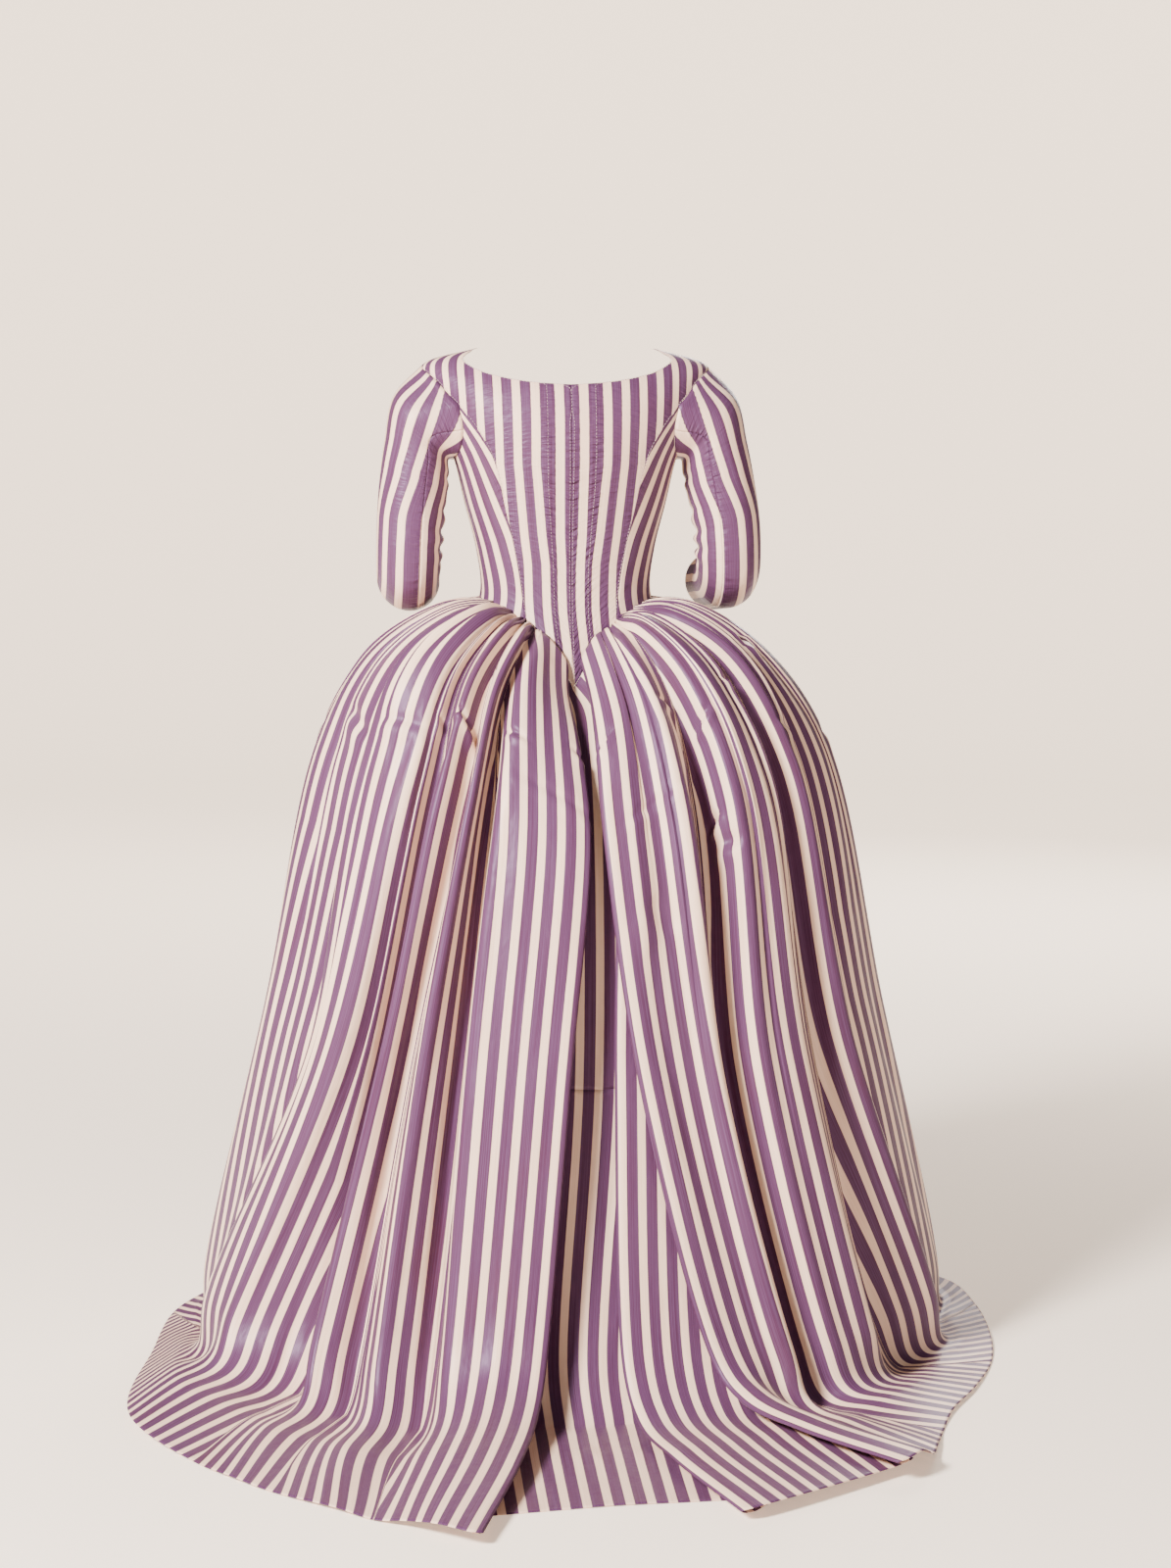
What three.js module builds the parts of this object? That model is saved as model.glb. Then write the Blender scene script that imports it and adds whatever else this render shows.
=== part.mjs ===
// Robe a l'anglaise in striped silk: a fitted bodice, two bent sleeves and an open, trained skirt.
// Millimetres. +Z is up, the wearer faces -Y and the wearer's left is +X.
// The origin is the mount on the shoulders, SHOULDER above the floor.
import * as THREE from "three";

const SHOULDER = 1290; // height of the mount above the floor
const WALL = 1.2; // thickness of every cloth wall
const SEAM = 0.3; // gap between two pieces at a seam
const ROUND = 0.92; // squareness of the body rings, 1 being an ellipse
const REST = 0.65; // mid-surface height of cloth lying on the floor
const TUCK = 2; // how far the top of the skirt lies under the edge of the bodice

// Body rings by height: half width, depth behind the axis, depth in front of it.
const BODY = [
  { z: 860, wide: 146, back: 132, front: 112 },
  { z: 920, wide: 130, back: 108, front: 106 },
  { z: 965, wide: 119, back: 92, front: 100 },
  { z: 1000, wide: 112, back: 86, front: 97 },
  { z: 1050, wide: 118, back: 88, front: 103 },
  { z: 1110, wide: 133, back: 97, front: 118 },
  { z: 1165, wide: 146, back: 106, front: 126 },
  { z: 1220, wide: 168, back: 104, front: 116 },
  { z: 1260, wide: 182, back: 88, front: 92 },
  { z: 1290, wide: 186, back: 56, front: 58 },
  { z: 1312, wide: 112, back: 26, front: 30 },
];

// Height of the waist seam by angle from the centre back, the same on both sides.
const WAIST = [
  { angle: 0, z: 878 },
  { angle: 8, z: 912 },
  { angle: 16, z: 936 },
  { angle: 26, z: 956 },
  { angle: 42, z: 973 },
  { angle: 70, z: 985 },
  { angle: 110, z: 987 },
  { angle: 150, z: 975 },
  { angle: 180, z: 958 },
];

// Skirt rings by angle from the centre back: radius and height of the outermost cloth.
const LEFT_DRAW = [0, 0, 0.065, 0.055, 0.03]; // how much narrower each ring is on the left
const RING_ANGLES = [0, 30, 60, 90, 130, 170];
const RINGS = [
  { name: "crest", r: [158, 156, 168, 165, 156, 142], z: [858, 952, 980, 970, 966, 962] },
  { name: "rump", r: [222, 232, 254, 257, 220, 176], z: [812, 888, 926, 914, 902, 890] },
  { name: "hip", r: [297, 312, 332, 347, 288, 212], z: [700, 745, 785, 795, 780, 760] },
  { name: "knee", r: [372, 386, 408, 427, 360, 272], z: [400, 415, 430, 440, 430, 420] },
  { name: "foot", r: [452, 470, 498, 517, 450, 350], z: [72, 72, 76, 80, 60, 50] },
];

// Skirt fold lines from the left front edge round the back to the right front edge.
// angle: seam, hip, knee, foot, hem (degrees); deep: rump, hip, knee, foot (mm behind the ring);
// edge: radius of the hem; lift: height of the cloth above the floor at foot and hem.
const FOLDS = [
  {
    name: "front_edge_l", angle: [150, 154, 153, 151, 151], deep: [0, 0, 0, 0],
    edge: 425, lift: [2, 1],
  },
  {
    name: "front_ridge_l", angle: [128, 139, 138, 137, 138], deep: [0, 0, 0, 0],
    edge: 455, lift: [10, 5],
  },
  {
    name: "front_valley_l", angle: [104, 124, 124, 123, 125], deep: [12, 18, 22, 26],
    edge: 482, lift: [2, 1],
  },
  {
    name: "side_ridge_l", angle: [82, 108, 110, 109, 114], deep: [0, 0, 0, 0],
    edge: 512, lift: [12, 4],
  },
  { name: "side_face_l", angle: [64, 88, 88, 97, 106], deep: [0, 0, 0, 4], edge: 530, lift: [10, 2] },
  {
    name: "panel_valley_l", angle: [50, 68, 65, 85, 99], deep: [26, 34, 26, 36],
    edge: 540, lift: [2, 1],
  },
  { name: "round_ridge_l", angle: [44, 60, 61, 76, 80], deep: [0, 0, 0, 0], edge: 560, lift: [14, 6] },
  {
    name: "corner_ridge_l", angle: [38, 46, 52, 65, 55], deep: [0, 0, 0, 0],
    edge: 690, lift: [26, 12],
  },
  {
    name: "pinch_valley_l", angle: [34, 40, 46, 53, 42], deep: [22, 34, 46, 60],
    edge: 722, lift: [2, 1],
  },
  {
    name: "pinch_ridge_l", angle: [30, 36, 42, 46.5, 36], deep: [0, 4, 8, 10],
    edge: 742, lift: [12, 3],
  },
  {
    name: "deep_valley_l", angle: [27, 31, 38.5, 41, 31], deep: [26, 36, 32, 38],
    edge: 757, lift: [2, 1],
  },
  { name: "narrow_ridge_l", angle: [24, 28, 33, 34, 24], deep: [2, 4, 2, 0], edge: 783, lift: [16, 4] },
  {
    name: "flap_valley_l", angle: [21, 25, 27.5, 27.5, 20.5], deep: [36, 56, 46, 36],
    edge: 798, lift: [2, 1], seam: -2,
  },
  {
    name: "flap_shoulder_l", angle: [17.5, 20.5, 23, 23, 17.5], deep: [2, 2, 0, 0],
    edge: 814, lift: [24, 9], seam: -9,
  },
  {
    name: "flap_face_l", angle: [13, 10, 13.5, 15.5, 14.6], deep: [0, 0, 0, 0],
    edge: 840, lift: [38, 18], seam: -12,
  },
];

// Box pleat of the centre back: each turn has its angles as above and the layer it lies in.
const TURNS = [
  {
    name: "flap_edge_l", angle: [5, -1, 4, 8, 11], side: 1, from: 0, to: 1,
    edge: 858, inner: 850, drop: 0.6,
  },
  {
    name: "hidden_turn_l", angle: [10, 8, 12, 16, 14.2], side: -1, from: 1, to: 4,
    edge: 778, inner: 770, drop: 0.5,
  },
  { name: "recess_face", angle: [0, -3, -2, 1, 1], side: 0, from: 4, to: 4, edge: 728, inner: 728 },
  {
    name: "hidden_turn_r", angle: [-13, -12, -14, -14, -16], side: 1, from: 4, to: 3,
    edge: 742, inner: 745,
  },
  {
    name: "band_edge", angle: [-7.5, -7, -4.6, -4, -9], side: -1, from: 3, to: 2,
    edge: 796, inner: 802,
  },
  {
    name: "band_turn", angle: [-12, -13, -16, -23.5, -28], side: 1, from: 2, to: 1,
    edge: 738, inner: 738,
  },
  {
    name: "flap_edge_r", angle: [-6, -4, -9, -18, -25], side: -1, from: 1, to: 0,
    edge: 755, inner: 762,
  },
];
const LAYER = [3, 4.6, 5.2, 6, 8.5, 8.5, 7]; // distance between layers at seam .. foot and at the hem
const RECESS = [0, 1, 5, 14, 26, 24]; // extra depth of the centre panel at seam .. foot
const TURN_OFF = [1.4, 1.4, 1.3, 1.2, 1.0, 1.0, 0.8]; // degrees from a turn to each of its layers

const FOLDS_RIGHT = [
  {
    name: "flap_face_r", angle: [-14.5, -10.5, -14, -21.5, -28.4], deep: [0, 0, 0, 0],
    edge: 752, lift: [38, 31], seam: -12,
  },
  {
    name: "flap_dip_r", angle: [-20, -17.5, -20.5, -27.5, -31.5], deep: [8, 12, 10, 8],
    edge: 724, lift: [16, 10], seam: -7,
  },
  {
    name: "flap_ridge_r", angle: [-23, -24, -24.5, -30.5, -34.5], deep: [0, 0, 0, 0],
    edge: 694, lift: [16, 6], seam: -2,
  },
  {
    name: "knot_valley_r", angle: [-26, -31, -29, -34, -39], deep: [26, 44, 34, 32],
    edge: 656, lift: [2, 1],
  },
  {
    name: "knot_ridge_r", angle: [-30, -37, -34.5, -39, -45], deep: [0, 0, 0, 0],
    edge: 622, lift: [16, 4],
  },
  {
    name: "round_face_r", angle: [-33, -45, -44, -47, -54], deep: [0, 0, 0, 0],
    edge: 602, lift: [14, 4],
  },
  {
    name: "low_valley_r", angle: [-36, -53, -53, -56, -66], deep: [16, 22, 24, 34],
    edge: 586, lift: [2, 1],
  },
  {
    name: "low_ridge_r", angle: [-41, -58, -58, -67, -76], deep: [0, 0, 0, 0],
    edge: 574, lift: [12, 3],
  },
  {
    name: "panel_valley_r", angle: [-50, -66, -65, -79, -92], deep: [14, 20, 20, 32],
    edge: 572, lift: [2, 1],
  },
  {
    name: "side_face_r", angle: [-64, -84, -84, -92, -104], deep: [0, 0, 0, 0],
    edge: 574, lift: [10, 3],
  },
  {
    name: "side_ridge_r", angle: [-82, -104, -106, -107, -114], deep: [0, 0, 0, 0],
    edge: 528, lift: [12, 4],
  },
  {
    name: "front_valley_r", angle: [-104, -121, -121, -121, -124], deep: [12, 16, 20, 26],
    edge: 482, lift: [2, 1],
  },
  {
    name: "front_ridge_r", angle: [-128, -137, -136, -136, -138], deep: [0, 0, 0, 0],
    edge: 452, lift: [10, 5],
  },
  {
    name: "front_edge_r", angle: [-150, -154, -153, -151, -151], deep: [0, 0, 0, 0],
    edge: 425, lift: [2, 1],
  },
];

// Skirt panels by the fold line where each one starts; the last ends at the right front edge.
const PANELS = [
  { name: "skirt_front_left", start: "front_edge_l", color: 0x9c7aa0 },
  { name: "skirt_side_left", start: "panel_valley_l", color: 0xb595b4 },
  { name: "skirt_back_left", start: "flap_valley_l", color: 0x9c7aa0 },
  { name: "skirt_centre", start: "hidden_turn_l", color: 0xcbb7c4 },
  { name: "skirt_back_right", start: "hidden_turn_r", color: 0xb595b4 },
  { name: "skirt_side_right", start: "knot_valley_r", color: 0x9c7aa0 },
  { name: "skirt_front_right", start: "low_valley_r", color: 0xb595b4 },
];
const PIECED_ROW = 8; // row of the cross seam in the centre panel
const ROWS = [0, 0.4, 1, 1.5, 2, 2.5, 3, 3.5, 4, 4.33, 4.67, 5, 5.5, 6, 6.5, 7, 7.5, 8];

// Seams and edges of the bodice as points of (angle from the centre back, height).
// Height 0 is the waist seam.
const CENTRE_BACK = [[0, 0], [0, 940], [0, 1010], [0, 1080], [0, 1150], [0, 1215], [0, 1262]];
const BACK_NECK = [[0, 1262], [16, 1266], [32, 1276], [44, 1290], [60, 1304], [90, 1311]];
const SIDE_BACK_SEAM = [[27, 0], [33, 1000], [36, 1050], [38, 1100], [40, 1150], [45, 1198], [54, 1236]];
const SIDE_SEAM = [[84, 0], [88, 1010], [90, 1050], [91, 1090], [92, 1125], [94, 1166]];
const CENTRE_FRONT = [[180, 0], [180, 1000], [180, 1050], [180, 1100], [180, 1140], [180, 1172]];
const FRONT_NECK = [
  [180, 1172], [169, 1175], [157, 1187], [149, 1213], [144, 1246], [137, 1278], [118, 1302], [90, 1311],
];
const ARMHOLE_BACK = [[54, 1236], [60, 1252], [70, 1274], [90, 1290]];
const ARMHOLE_UNDER = [[54, 1236], [57, 1204], [70, 1176], [94, 1166]];
const ARMHOLE_FRONT = [[94, 1166], [112, 1180], [120, 1214], [112, 1262], [90, 1290]];

// Bodice pieces by their edges: near the centre and far from it, each with its lower and upper part.
const PIECES = [
  { name: "bodice_back", near: [CENTRE_BACK, BACK_NECK], far: [SIDE_BACK_SEAM, ARMHOLE_BACK], across: 8 },
  { name: "bodice_side_back", near: [SIDE_BACK_SEAM], far: [SIDE_SEAM], rim: ARMHOLE_UNDER, across: 7 },
  { name: "bodice_front", near: [CENTRE_FRONT, FRONT_NECK], far: [SIDE_SEAM, ARMHOLE_FRONT], across: 9 },
];
const SEAM_ROWS = 13; // steps up a bodice seam
const EDGE_ROWS = 6; // steps along the neckline or the armhole

// Sleeve rings along the arm: centre (x from the body, y, z), radius across and along the bend,
// lean of the ring away from the body and tilt of the forearm's rings, from level (0) to upright (90).
const ARM = [
  { x: 190, y: 1, z: 1207, wide: 55, deep: 57, lean: 50, tilt: 0 },
  { x: 196, y: 3, z: 1168, wide: 47, deep: 55, lean: 26, tilt: 0 },
  { x: 201, y: 8, z: 1128, wide: 45, deep: 52, lean: 12, tilt: 0 },
  { x: 205, y: 14, z: 1084, wide: 44, deep: 49, lean: 8, tilt: 2 },
  { x: 207, y: 18, z: 1050, wide: 43, deep: 48, lean: 4, tilt: 10 },
  { x: 208, y: 13, z: 1026, wide: 42, deep: 49, lean: 0, tilt: 34 },
  { x: 208, y: -8, z: 1012, wide: 41, deep: 45, lean: 0, tilt: 62 },
  { x: 206, y: -42, z: 1006, wide: 40, deep: 40, lean: 0, tilt: 80 },
  { x: 203, y: -84, z: 1002, wide: 40, deep: 39, lean: 0, tilt: 86 },
];
const ARM_OUT = { left: 0, right: 8 }; // how far each elbow stands out from the rings above
const HEAD_GAP = 3; // how far outside the armhole the sleeve starts
const ARM_STEPS = 20; // points round a sleeve ring
const BACK_SEAM = 6; // step of the seam down the back of the arm
const FRONT_SEAM = 16; // step of the seam inside the bend

const rad = (degrees) => (degrees * Math.PI) / 180;
const mix = (a, b, t) => a + (b - a) * t;
const mixAll = (a, b, t) => a.map((v, k) => mix(v, b[k], t));

// A smooth curve through points of any dimension that never loops where they are close together.
function curve(points) {
  const last = points.length - 1;
  const step = [];
  for (let k = 0; k < last; k += 1) {
    const d = Math.hypot(...points[k].map((v, n) => v - points[k + 1][n]));
    step.push(Math.sqrt(Math.max(d, 1e-6)));
  }
  const slope = points.map((p, k) => {
    if (k === 0) return p.map((v, n) => (points[1][n] - v) / step[0]);
    if (k === last) return p.map((v, n) => (v - points[last - 1][n]) / step[last - 1]);
    const a = step[k - 1];
    const b = step[k];
    return p.map((v, n) => {
      const before = (v - points[k - 1][n]) / a;
      const after = (points[k + 1][n] - v) / b;
      return (before * b + after * a) / (a + b);
    });
  });
  return (t) => {
    const k = Math.min(Math.max(Math.floor(t), 0), last - 1);
    const f = t - k;
    const g = 1 - f;
    return points[k].map((v, n) => (
      (1 + 2 * f) * g * g * v + f * f * (3 - 2 * f) * points[k + 1][n]
      + step[k] * (f * g * g * slope[k][n] - f * f * g * slope[k + 1][n])
    ));
  };
}

// Value of a table's column at a key, along straight lines between its rows.
function lookup(keys, values, key) {
  let k = 0;
  while (k < keys.length - 2 && key > keys[k + 1]) k += 1;
  const t = Math.min(Math.max((key - keys[k]) / (keys[k + 1] - keys[k]), 0), 1);
  return mix(values[k], values[k + 1], t);
}

// As lookup, but rounded, so that a ring has no corners.
function smoothLookup(keys, values, key) {
  const at = lookup(keys, keys.map((_, k) => k), key);
  return curve(values.map((v, k) => [k * 60, v]))(at)[1];
}

const bodyCurve = curve(BODY.map((b) => [b.z, b.wide, b.back, b.front]));

function bodyAt(z) {
  let low = 0;
  let high = BODY.length - 1;
  for (let n = 0; n < 34; n += 1) {
    const middle = (low + high) / 2;
    if (bodyCurve(middle)[0] < z) low = middle;
    else high = middle;
  }
  const [, wide, back, front] = bodyCurve((low + high) / 2);
  return { wide, back, front };
}

function waistHeight(angle) {
  return smoothLookup(WAIST.map((w) => w.angle), WAIST.map((w) => w.z), Math.abs(angle));
}

// Point of the body at an angle from the centre back and a height above the floor.
function bodyPoint(angle, z) {
  const ring = bodyAt(z);
  const c = Math.cos(rad(angle));
  const s = Math.sin(rad(angle));
  const depth = c > 0 ? ring.back : ring.front;
  const across = Math.sign(s) * Math.abs(s) ** ROUND;
  return [ring.wide * across, depth * Math.sign(c) * Math.abs(c) ** ROUND, z];
}

function bodyNormal(angle, z) {
  const round = new THREE.Vector3(...bodyPoint(angle + 1, z));
  round.sub(new THREE.Vector3(...bodyPoint(angle - 1, z)));
  const up = new THREE.Vector3(...bodyPoint(angle, z + 2));
  up.sub(new THREE.Vector3(...bodyPoint(angle, z - 2)));
  return up.cross(round).normalize().toArray();
}

// A closed wall about a grid of points and normals; the grid is a list of columns.
function wall(name, points, normals, color, closed = false) {
  const columns = points.length;
  const rows = points[0].length;
  const positions = [];
  for (const side of [0.5, -0.5]) {
    for (let i = 0; i < columns; i += 1) {
      for (let j = 0; j < rows; j += 1) {
        const n = normals[i][j];
        positions.push(...points[i][j].map((v, k) => v + n[k] * WALL * side));
      }
    }
  }
  const inner = columns * rows;
  const index = [];
  const quad = (a, b, c, d) => index.push(a, c, b, a, d, c);
  const at = (i, j) => (i % columns) * rows + j;
  const spans = closed ? columns : columns - 1;
  for (let i = 0; i < spans; i += 1) {
    for (let j = 0; j < rows - 1; j += 1) {
      quad(at(i, j), at(i + 1, j), at(i + 1, j + 1), at(i, j + 1));
      quad(inner + at(i, j), inner + at(i, j + 1), inner + at(i + 1, j + 1), inner + at(i + 1, j));
    }
    quad(at(i + 1, 0), at(i, 0), inner + at(i, 0), inner + at(i + 1, 0));
    quad(at(i, rows - 1), at(i + 1, rows - 1), inner + at(i + 1, rows - 1), inner + at(i, rows - 1));
  }
  if (!closed) {
    for (let j = 0; j < rows - 1; j += 1) {
      const e = columns - 1;
      quad(at(0, j), at(0, j + 1), inner + at(0, j + 1), inner + at(0, j));
      quad(at(e, j + 1), at(e, j), inner + at(e, j), inner + at(e, j + 1));
    }
  }
  const geometry = new THREE.BufferGeometry();
  geometry.setAttribute("position", new THREE.Float32BufferAttribute(positions, 3));
  geometry.setIndex(index);
  geometry.computeVertexNormals();
  const material = new THREE.MeshStandardMaterial({ color, roughness: 0.55, side: THREE.DoubleSide });
  const mesh = new THREE.Mesh(geometry, material);
  mesh.name = name;
  return mesh;
}

// Moves a point towards another by a distance.
function toward(p, q, distance) {
  const length = Math.hypot(...p.map((v, k) => q[k] - v)) || 1;
  return p.map((v, k) => v + ((q[k] - v) * distance) / length);
}

// Direction from an edge point into the sheet, square to the edge.
function inward(edge, next, j) {
  const p = new THREE.Vector3(...edge[j]);
  const along = new THREE.Vector3(...edge[Math.min(j + 1, edge.length - 1)]);
  along.sub(new THREE.Vector3(...edge[Math.max(j - 1, 0)])).normalize();
  const into = new THREE.Vector3(...next[j]).sub(p);
  return into.addScaledVector(along, -into.dot(along)).normalize();
}

// Draws the outer edges of a grid in by half a seam, so that neighbours stay SEAM apart.
function inset(grid, edges) {
  const out = grid.map((column) => column.slice());
  const e = grid.length - 1;
  const last = grid[0].length - 1;
  for (let j = 0; j <= last; j += 1) {
    for (const [i, next, distance] of [[0, 1, edges.first], [e, e - 1, edges.final]]) {
      const into = inward(grid[i], grid[next], j);
      out[i][j] = new THREE.Vector3(...grid[i][j]).addScaledVector(into, distance).toArray();
    }
  }
  for (let i = 0; i <= e; i += 1) {
    if (edges.top) out[i][0] = toward(out[i][0], out[i][1], edges.top);
    if (edges.bottom) out[i][last] = toward(out[i][last], out[i][last - 1], edges.bottom);
  }
  return out;
}

// Normals of a grid whose columns run down and whose rows run from +X round the back to -X.
function gridNormals(grid) {
  const e = grid.length - 1;
  const last = grid[0].length - 1;
  return grid.map((column, i) => column.map((p, j) => {
    const a = new THREE.Vector3(...grid[Math.min(i + 1, e)][j]);
    a.sub(new THREE.Vector3(...grid[Math.max(i - 1, 0)][j]));
    const b = new THREE.Vector3(...grid[i][Math.min(j + 1, last)]);
    b.sub(new THREE.Vector3(...grid[i][Math.max(j - 1, 0)]));
    return b.cross(a).normalize().toArray();
  }));
}

function ringAt(station, angle) {
  const size = Math.abs(angle);
  const draw = angle > 0 ? 1 - LEFT_DRAW[station] * Math.sin(rad(angle)) ** 2 : 1;
  const ring = RINGS[station];
  return [smoothLookup(RING_ANGLES, ring.r, size) * draw, smoothLookup(RING_ANGLES, ring.z, size)];
}

function ringPlace(station, angle) {
  const [r, z] = ringAt(station, angle);
  return new THREE.Vector3(r * Math.sin(rad(angle)), r * Math.cos(rad(angle)), z);
}

function ringPoint(station, angle, depth) {
  const here = ringPlace(station, angle);
  const level = ringPlace(station, angle - 1).sub(ringPlace(station, angle + 1));
  const inside = here.clone().multiply(new THREE.Vector3(0.75, 0.75, 1));
  const above = station === 0 ? inside : ringPlace(station - 1, angle);
  const lower = here.clone().sub(new THREE.Vector3(0, 0, 60));
  const below = station === RINGS.length - 1 ? lower : ringPlace(station + 1, angle);
  const out = below.sub(above).cross(level).normalize();
  return here.addScaledVector(out, -depth).toArray();
}

// Point of the skirt's top edge, just under the edge of the bodice; depth is square to the skirt.
function seamPoint(angle, depth) {
  const edge = (a) => new THREE.Vector3(...bodyPoint(a, waistHeight(a) - WALL / 2 - SEAM - TUCK));
  const here = edge(angle);
  const level = edge(angle - 1).sub(edge(angle + 1));
  const down = ringPlace(0, angle * 0.85).sub(here);
  return here.addScaledVector(down.cross(level).normalize(), -depth).toArray();
}

// Control points of one fold line from the waist seam to the hem.
function foldLine(angles, depths, off, hem) {
  const [seam, hip, knee, foot, edge] = angles;
  const stations = [mix(seam, hip, 0.42), mix(seam, hip, 0.8), hip, knee, foot];
  const line = [seamPoint(seam + off[0], depths[0])];
  stations.forEach((angle, s) => line.push(ringPoint(s, angle + off[s + 1], depths[s + 1])));
  const a = edge + off[6];
  const start = line[line.length - 1];
  const reach = Math.hypot(start[0], start[1]);
  [[0.16, 0.22], [0.5, 0.5], [1, 1]].forEach(([t, turn]) => {
    const angle = mix(foot + off[5], a, turn);
    const r = mix(reach, hem.edge, t);
    const z = REST + 1.5 * (1 - t) + mix(hem.lift[0], hem.lift[1], t) * (t < 0.3 ? 1.15 : 1);
    line.push([r * Math.sin(rad(angle)), r * Math.cos(rad(angle)), z]);
  });
  return line;
}

function simpleFold(fold) {
  const [rump, hip, knee, foot] = fold.deep;
  const depths = [fold.seam || 0, rump * 0.45, rump, hip, knee, foot];
  const none = [0, 0, 0, 0, 0, 0, 0];
  const line = foldLine(fold.angle, depths, none, fold);
  return [{ name: fold.name, line, seam: [fold.angle[0], depths[0]] }];
}

// A turn of a box pleat: the layer it comes from, the turn itself and the layer it goes to.
function turnFold(turn) {
  const layerDepth = (layer, s) => {
    const stack = s === 0 ? (layer - 4) * LAYER[0] : layer * LAYER[s];
    return stack + (layer === 4 ? RECESS[s] : 0);
  };
  const layerLift = (layer) => 1 + (4 - layer) * LAYER[6];
  const layers = turn.side ? [turn.from, null, turn.to] : [turn.from];
  return layers.map((layer, k) => {
    const depths = RECESS.map((_, s) => {
      if (layer !== null) return layerDepth(layer, s);
      return (layerDepth(turn.from, s) + layerDepth(turn.to, s)) / 2;
    });
    const off = TURN_OFF.map((v) => (layer === null ? 0 : v * turn.side));
    const lift = layer !== null ? layerLift(layer) : (layerLift(turn.from) + layerLift(turn.to)) / 2;
    const edge = [turn.edge, (turn.edge + turn.inner) / 2, turn.inner][k];
    const hem = { edge, lift: [lift * 1.2, lift * (turn.drop || 1)] };
    return {
      name: k === 1 || !turn.side ? turn.name : "",
      line: foldLine(turn.angle, depths, off, hem),
      seam: [turn.angle[0] + off[0], depths[0]],
    };
  });
}

const skirtFolds = [
  ...FOLDS.flatMap(simpleFold),
  ...TURNS.flatMap(turnFold),
  ...FOLDS_RIGHT.flatMap(simpleFold),
];

// The whole skirt as one grid; each fold line keeps its column number.
function skirtGrid() {
  const lines = skirtFolds.map((fold) => ROWS.map(curve(fold.line)));
  const seam = curve(skirtFolds.map((fold) => [fold.seam[0] * 2, fold.seam[1]]));
  const grid = [];
  const columnOf = {};
  skirtFolds.forEach((fold, k) => {
    if (fold.name) columnOf[fold.name] = grid.length;
    if (k === skirtFolds.length - 1) {
      grid.push(lines[k]);
      return;
    }
    const hip = lines[k][6];
    const next = lines[k + 1][6];
    const wide = Math.hypot(hip[0] - next[0], hip[1] - next[1]);
    const parts = wide < 14 ? 1 : wide < 50 ? 2 : 3;
    for (let n = 0; n < parts; n += 1) {
      const at = k + n / parts;
      const column = ROWS.map((_, j) => curve(lines.map((line) => line[j]))(at));
      const [twice, depth] = seam(at);
      column[0] = seamPoint(twice / 2, depth);
      grid.push(column);
    }
  });
  for (const column of grid) {
    for (const point of column) point[2] = Math.max(point[2], REST);
  }
  return { grid, columnOf };
}

function skirtMeshes() {
  const { grid, columnOf } = skirtGrid();
  const normals = gridNormals(grid);
  const meshes = [];
  PANELS.forEach((panel, k) => {
    const from = columnOf[panel.start];
    const to = k + 1 < PANELS.length ? columnOf[PANELS[k + 1].start] : grid.length - 1;
    const edges = { first: k > 0 ? SEAM / 2 : 0, final: k + 1 < PANELS.length ? SEAM / 2 : 0 };
    const cut = (top, bottom) => (rows) => (
      rows.slice(from, to + 1).map((column) => column.slice(top, bottom))
    );
    if (panel.name === "skirt_centre") {
      const last = ROWS.length;
      const upper = cut(0, PIECED_ROW + 1);
      const lower = cut(PIECED_ROW, last);
      const above = inset(upper(grid), { ...edges, bottom: SEAM / 2 });
      const below = inset(lower(grid), { ...edges, top: SEAM / 2 });
      meshes.push(wall("skirt_centre_upper", above, upper(normals), panel.color));
      meshes.push(wall("skirt_centre_lower", below, lower(normals), 0xb9a3b8));
      return;
    }
    const whole = cut(0, ROWS.length);
    meshes.push(wall(panel.name, inset(whole(grid), edges), whole(normals), panel.color));
  });
  return meshes;
}

// A seam or edge as a function of 0 to 1, giving the angle and the height.
function edgeCurve(points) {
  const path = curve(points.map(([angle, z]) => [angle, z || waistHeight(angle)]));
  return (t) => path(t * (points.length - 1));
}

// Rows up one side of a piece, from the waist seam to the top.
function sideRows(parts) {
  const seam = edgeCurve(parts[0]);
  const rows = [];
  for (let j = 0; j <= SEAM_ROWS; j += 1) rows.push(seam(j / SEAM_ROWS));
  if (parts.length > 1) {
    const edge = edgeCurve(parts[1]);
    for (let j = 1; j <= EDGE_ROWS; j += 1) rows.push(edge(j / EDGE_ROWS));
  }
  return rows;
}

// The places of a piece in (angle, height), blended from its four edges; columns run down.
function piecePlaces(piece) {
  const near = sideRows(piece.near);
  const far = sideRows(piece.far);
  const top = near.length - 1;
  const rim = piece.rim ? edgeCurve(piece.rim) : (s) => mixAll(near[top], far[top], s);
  const places = [];
  for (let i = 0; i <= piece.across; i += 1) {
    const s = i / piece.across;
    const a0 = mix(near[0][0], far[0][0], s);
    const bottom = [a0, waistHeight(a0)];
    const column = near.map((n, j) => {
      const t = j / top;
      const sides = mixAll(n, far[j], s);
      const ends = mixAll(bottom, rim(s), t);
      const corners = mixAll(mixAll(near[0], far[0], s), mixAll(near[top], far[top], s), t);
      const [a, z] = sides.map((v, k) => v + ends[k] - corners[k]);
      return [Math.min(Math.max(a, 0), 180), z];
    });
    places.push(column.reverse());
  }
  return places;
}

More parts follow.
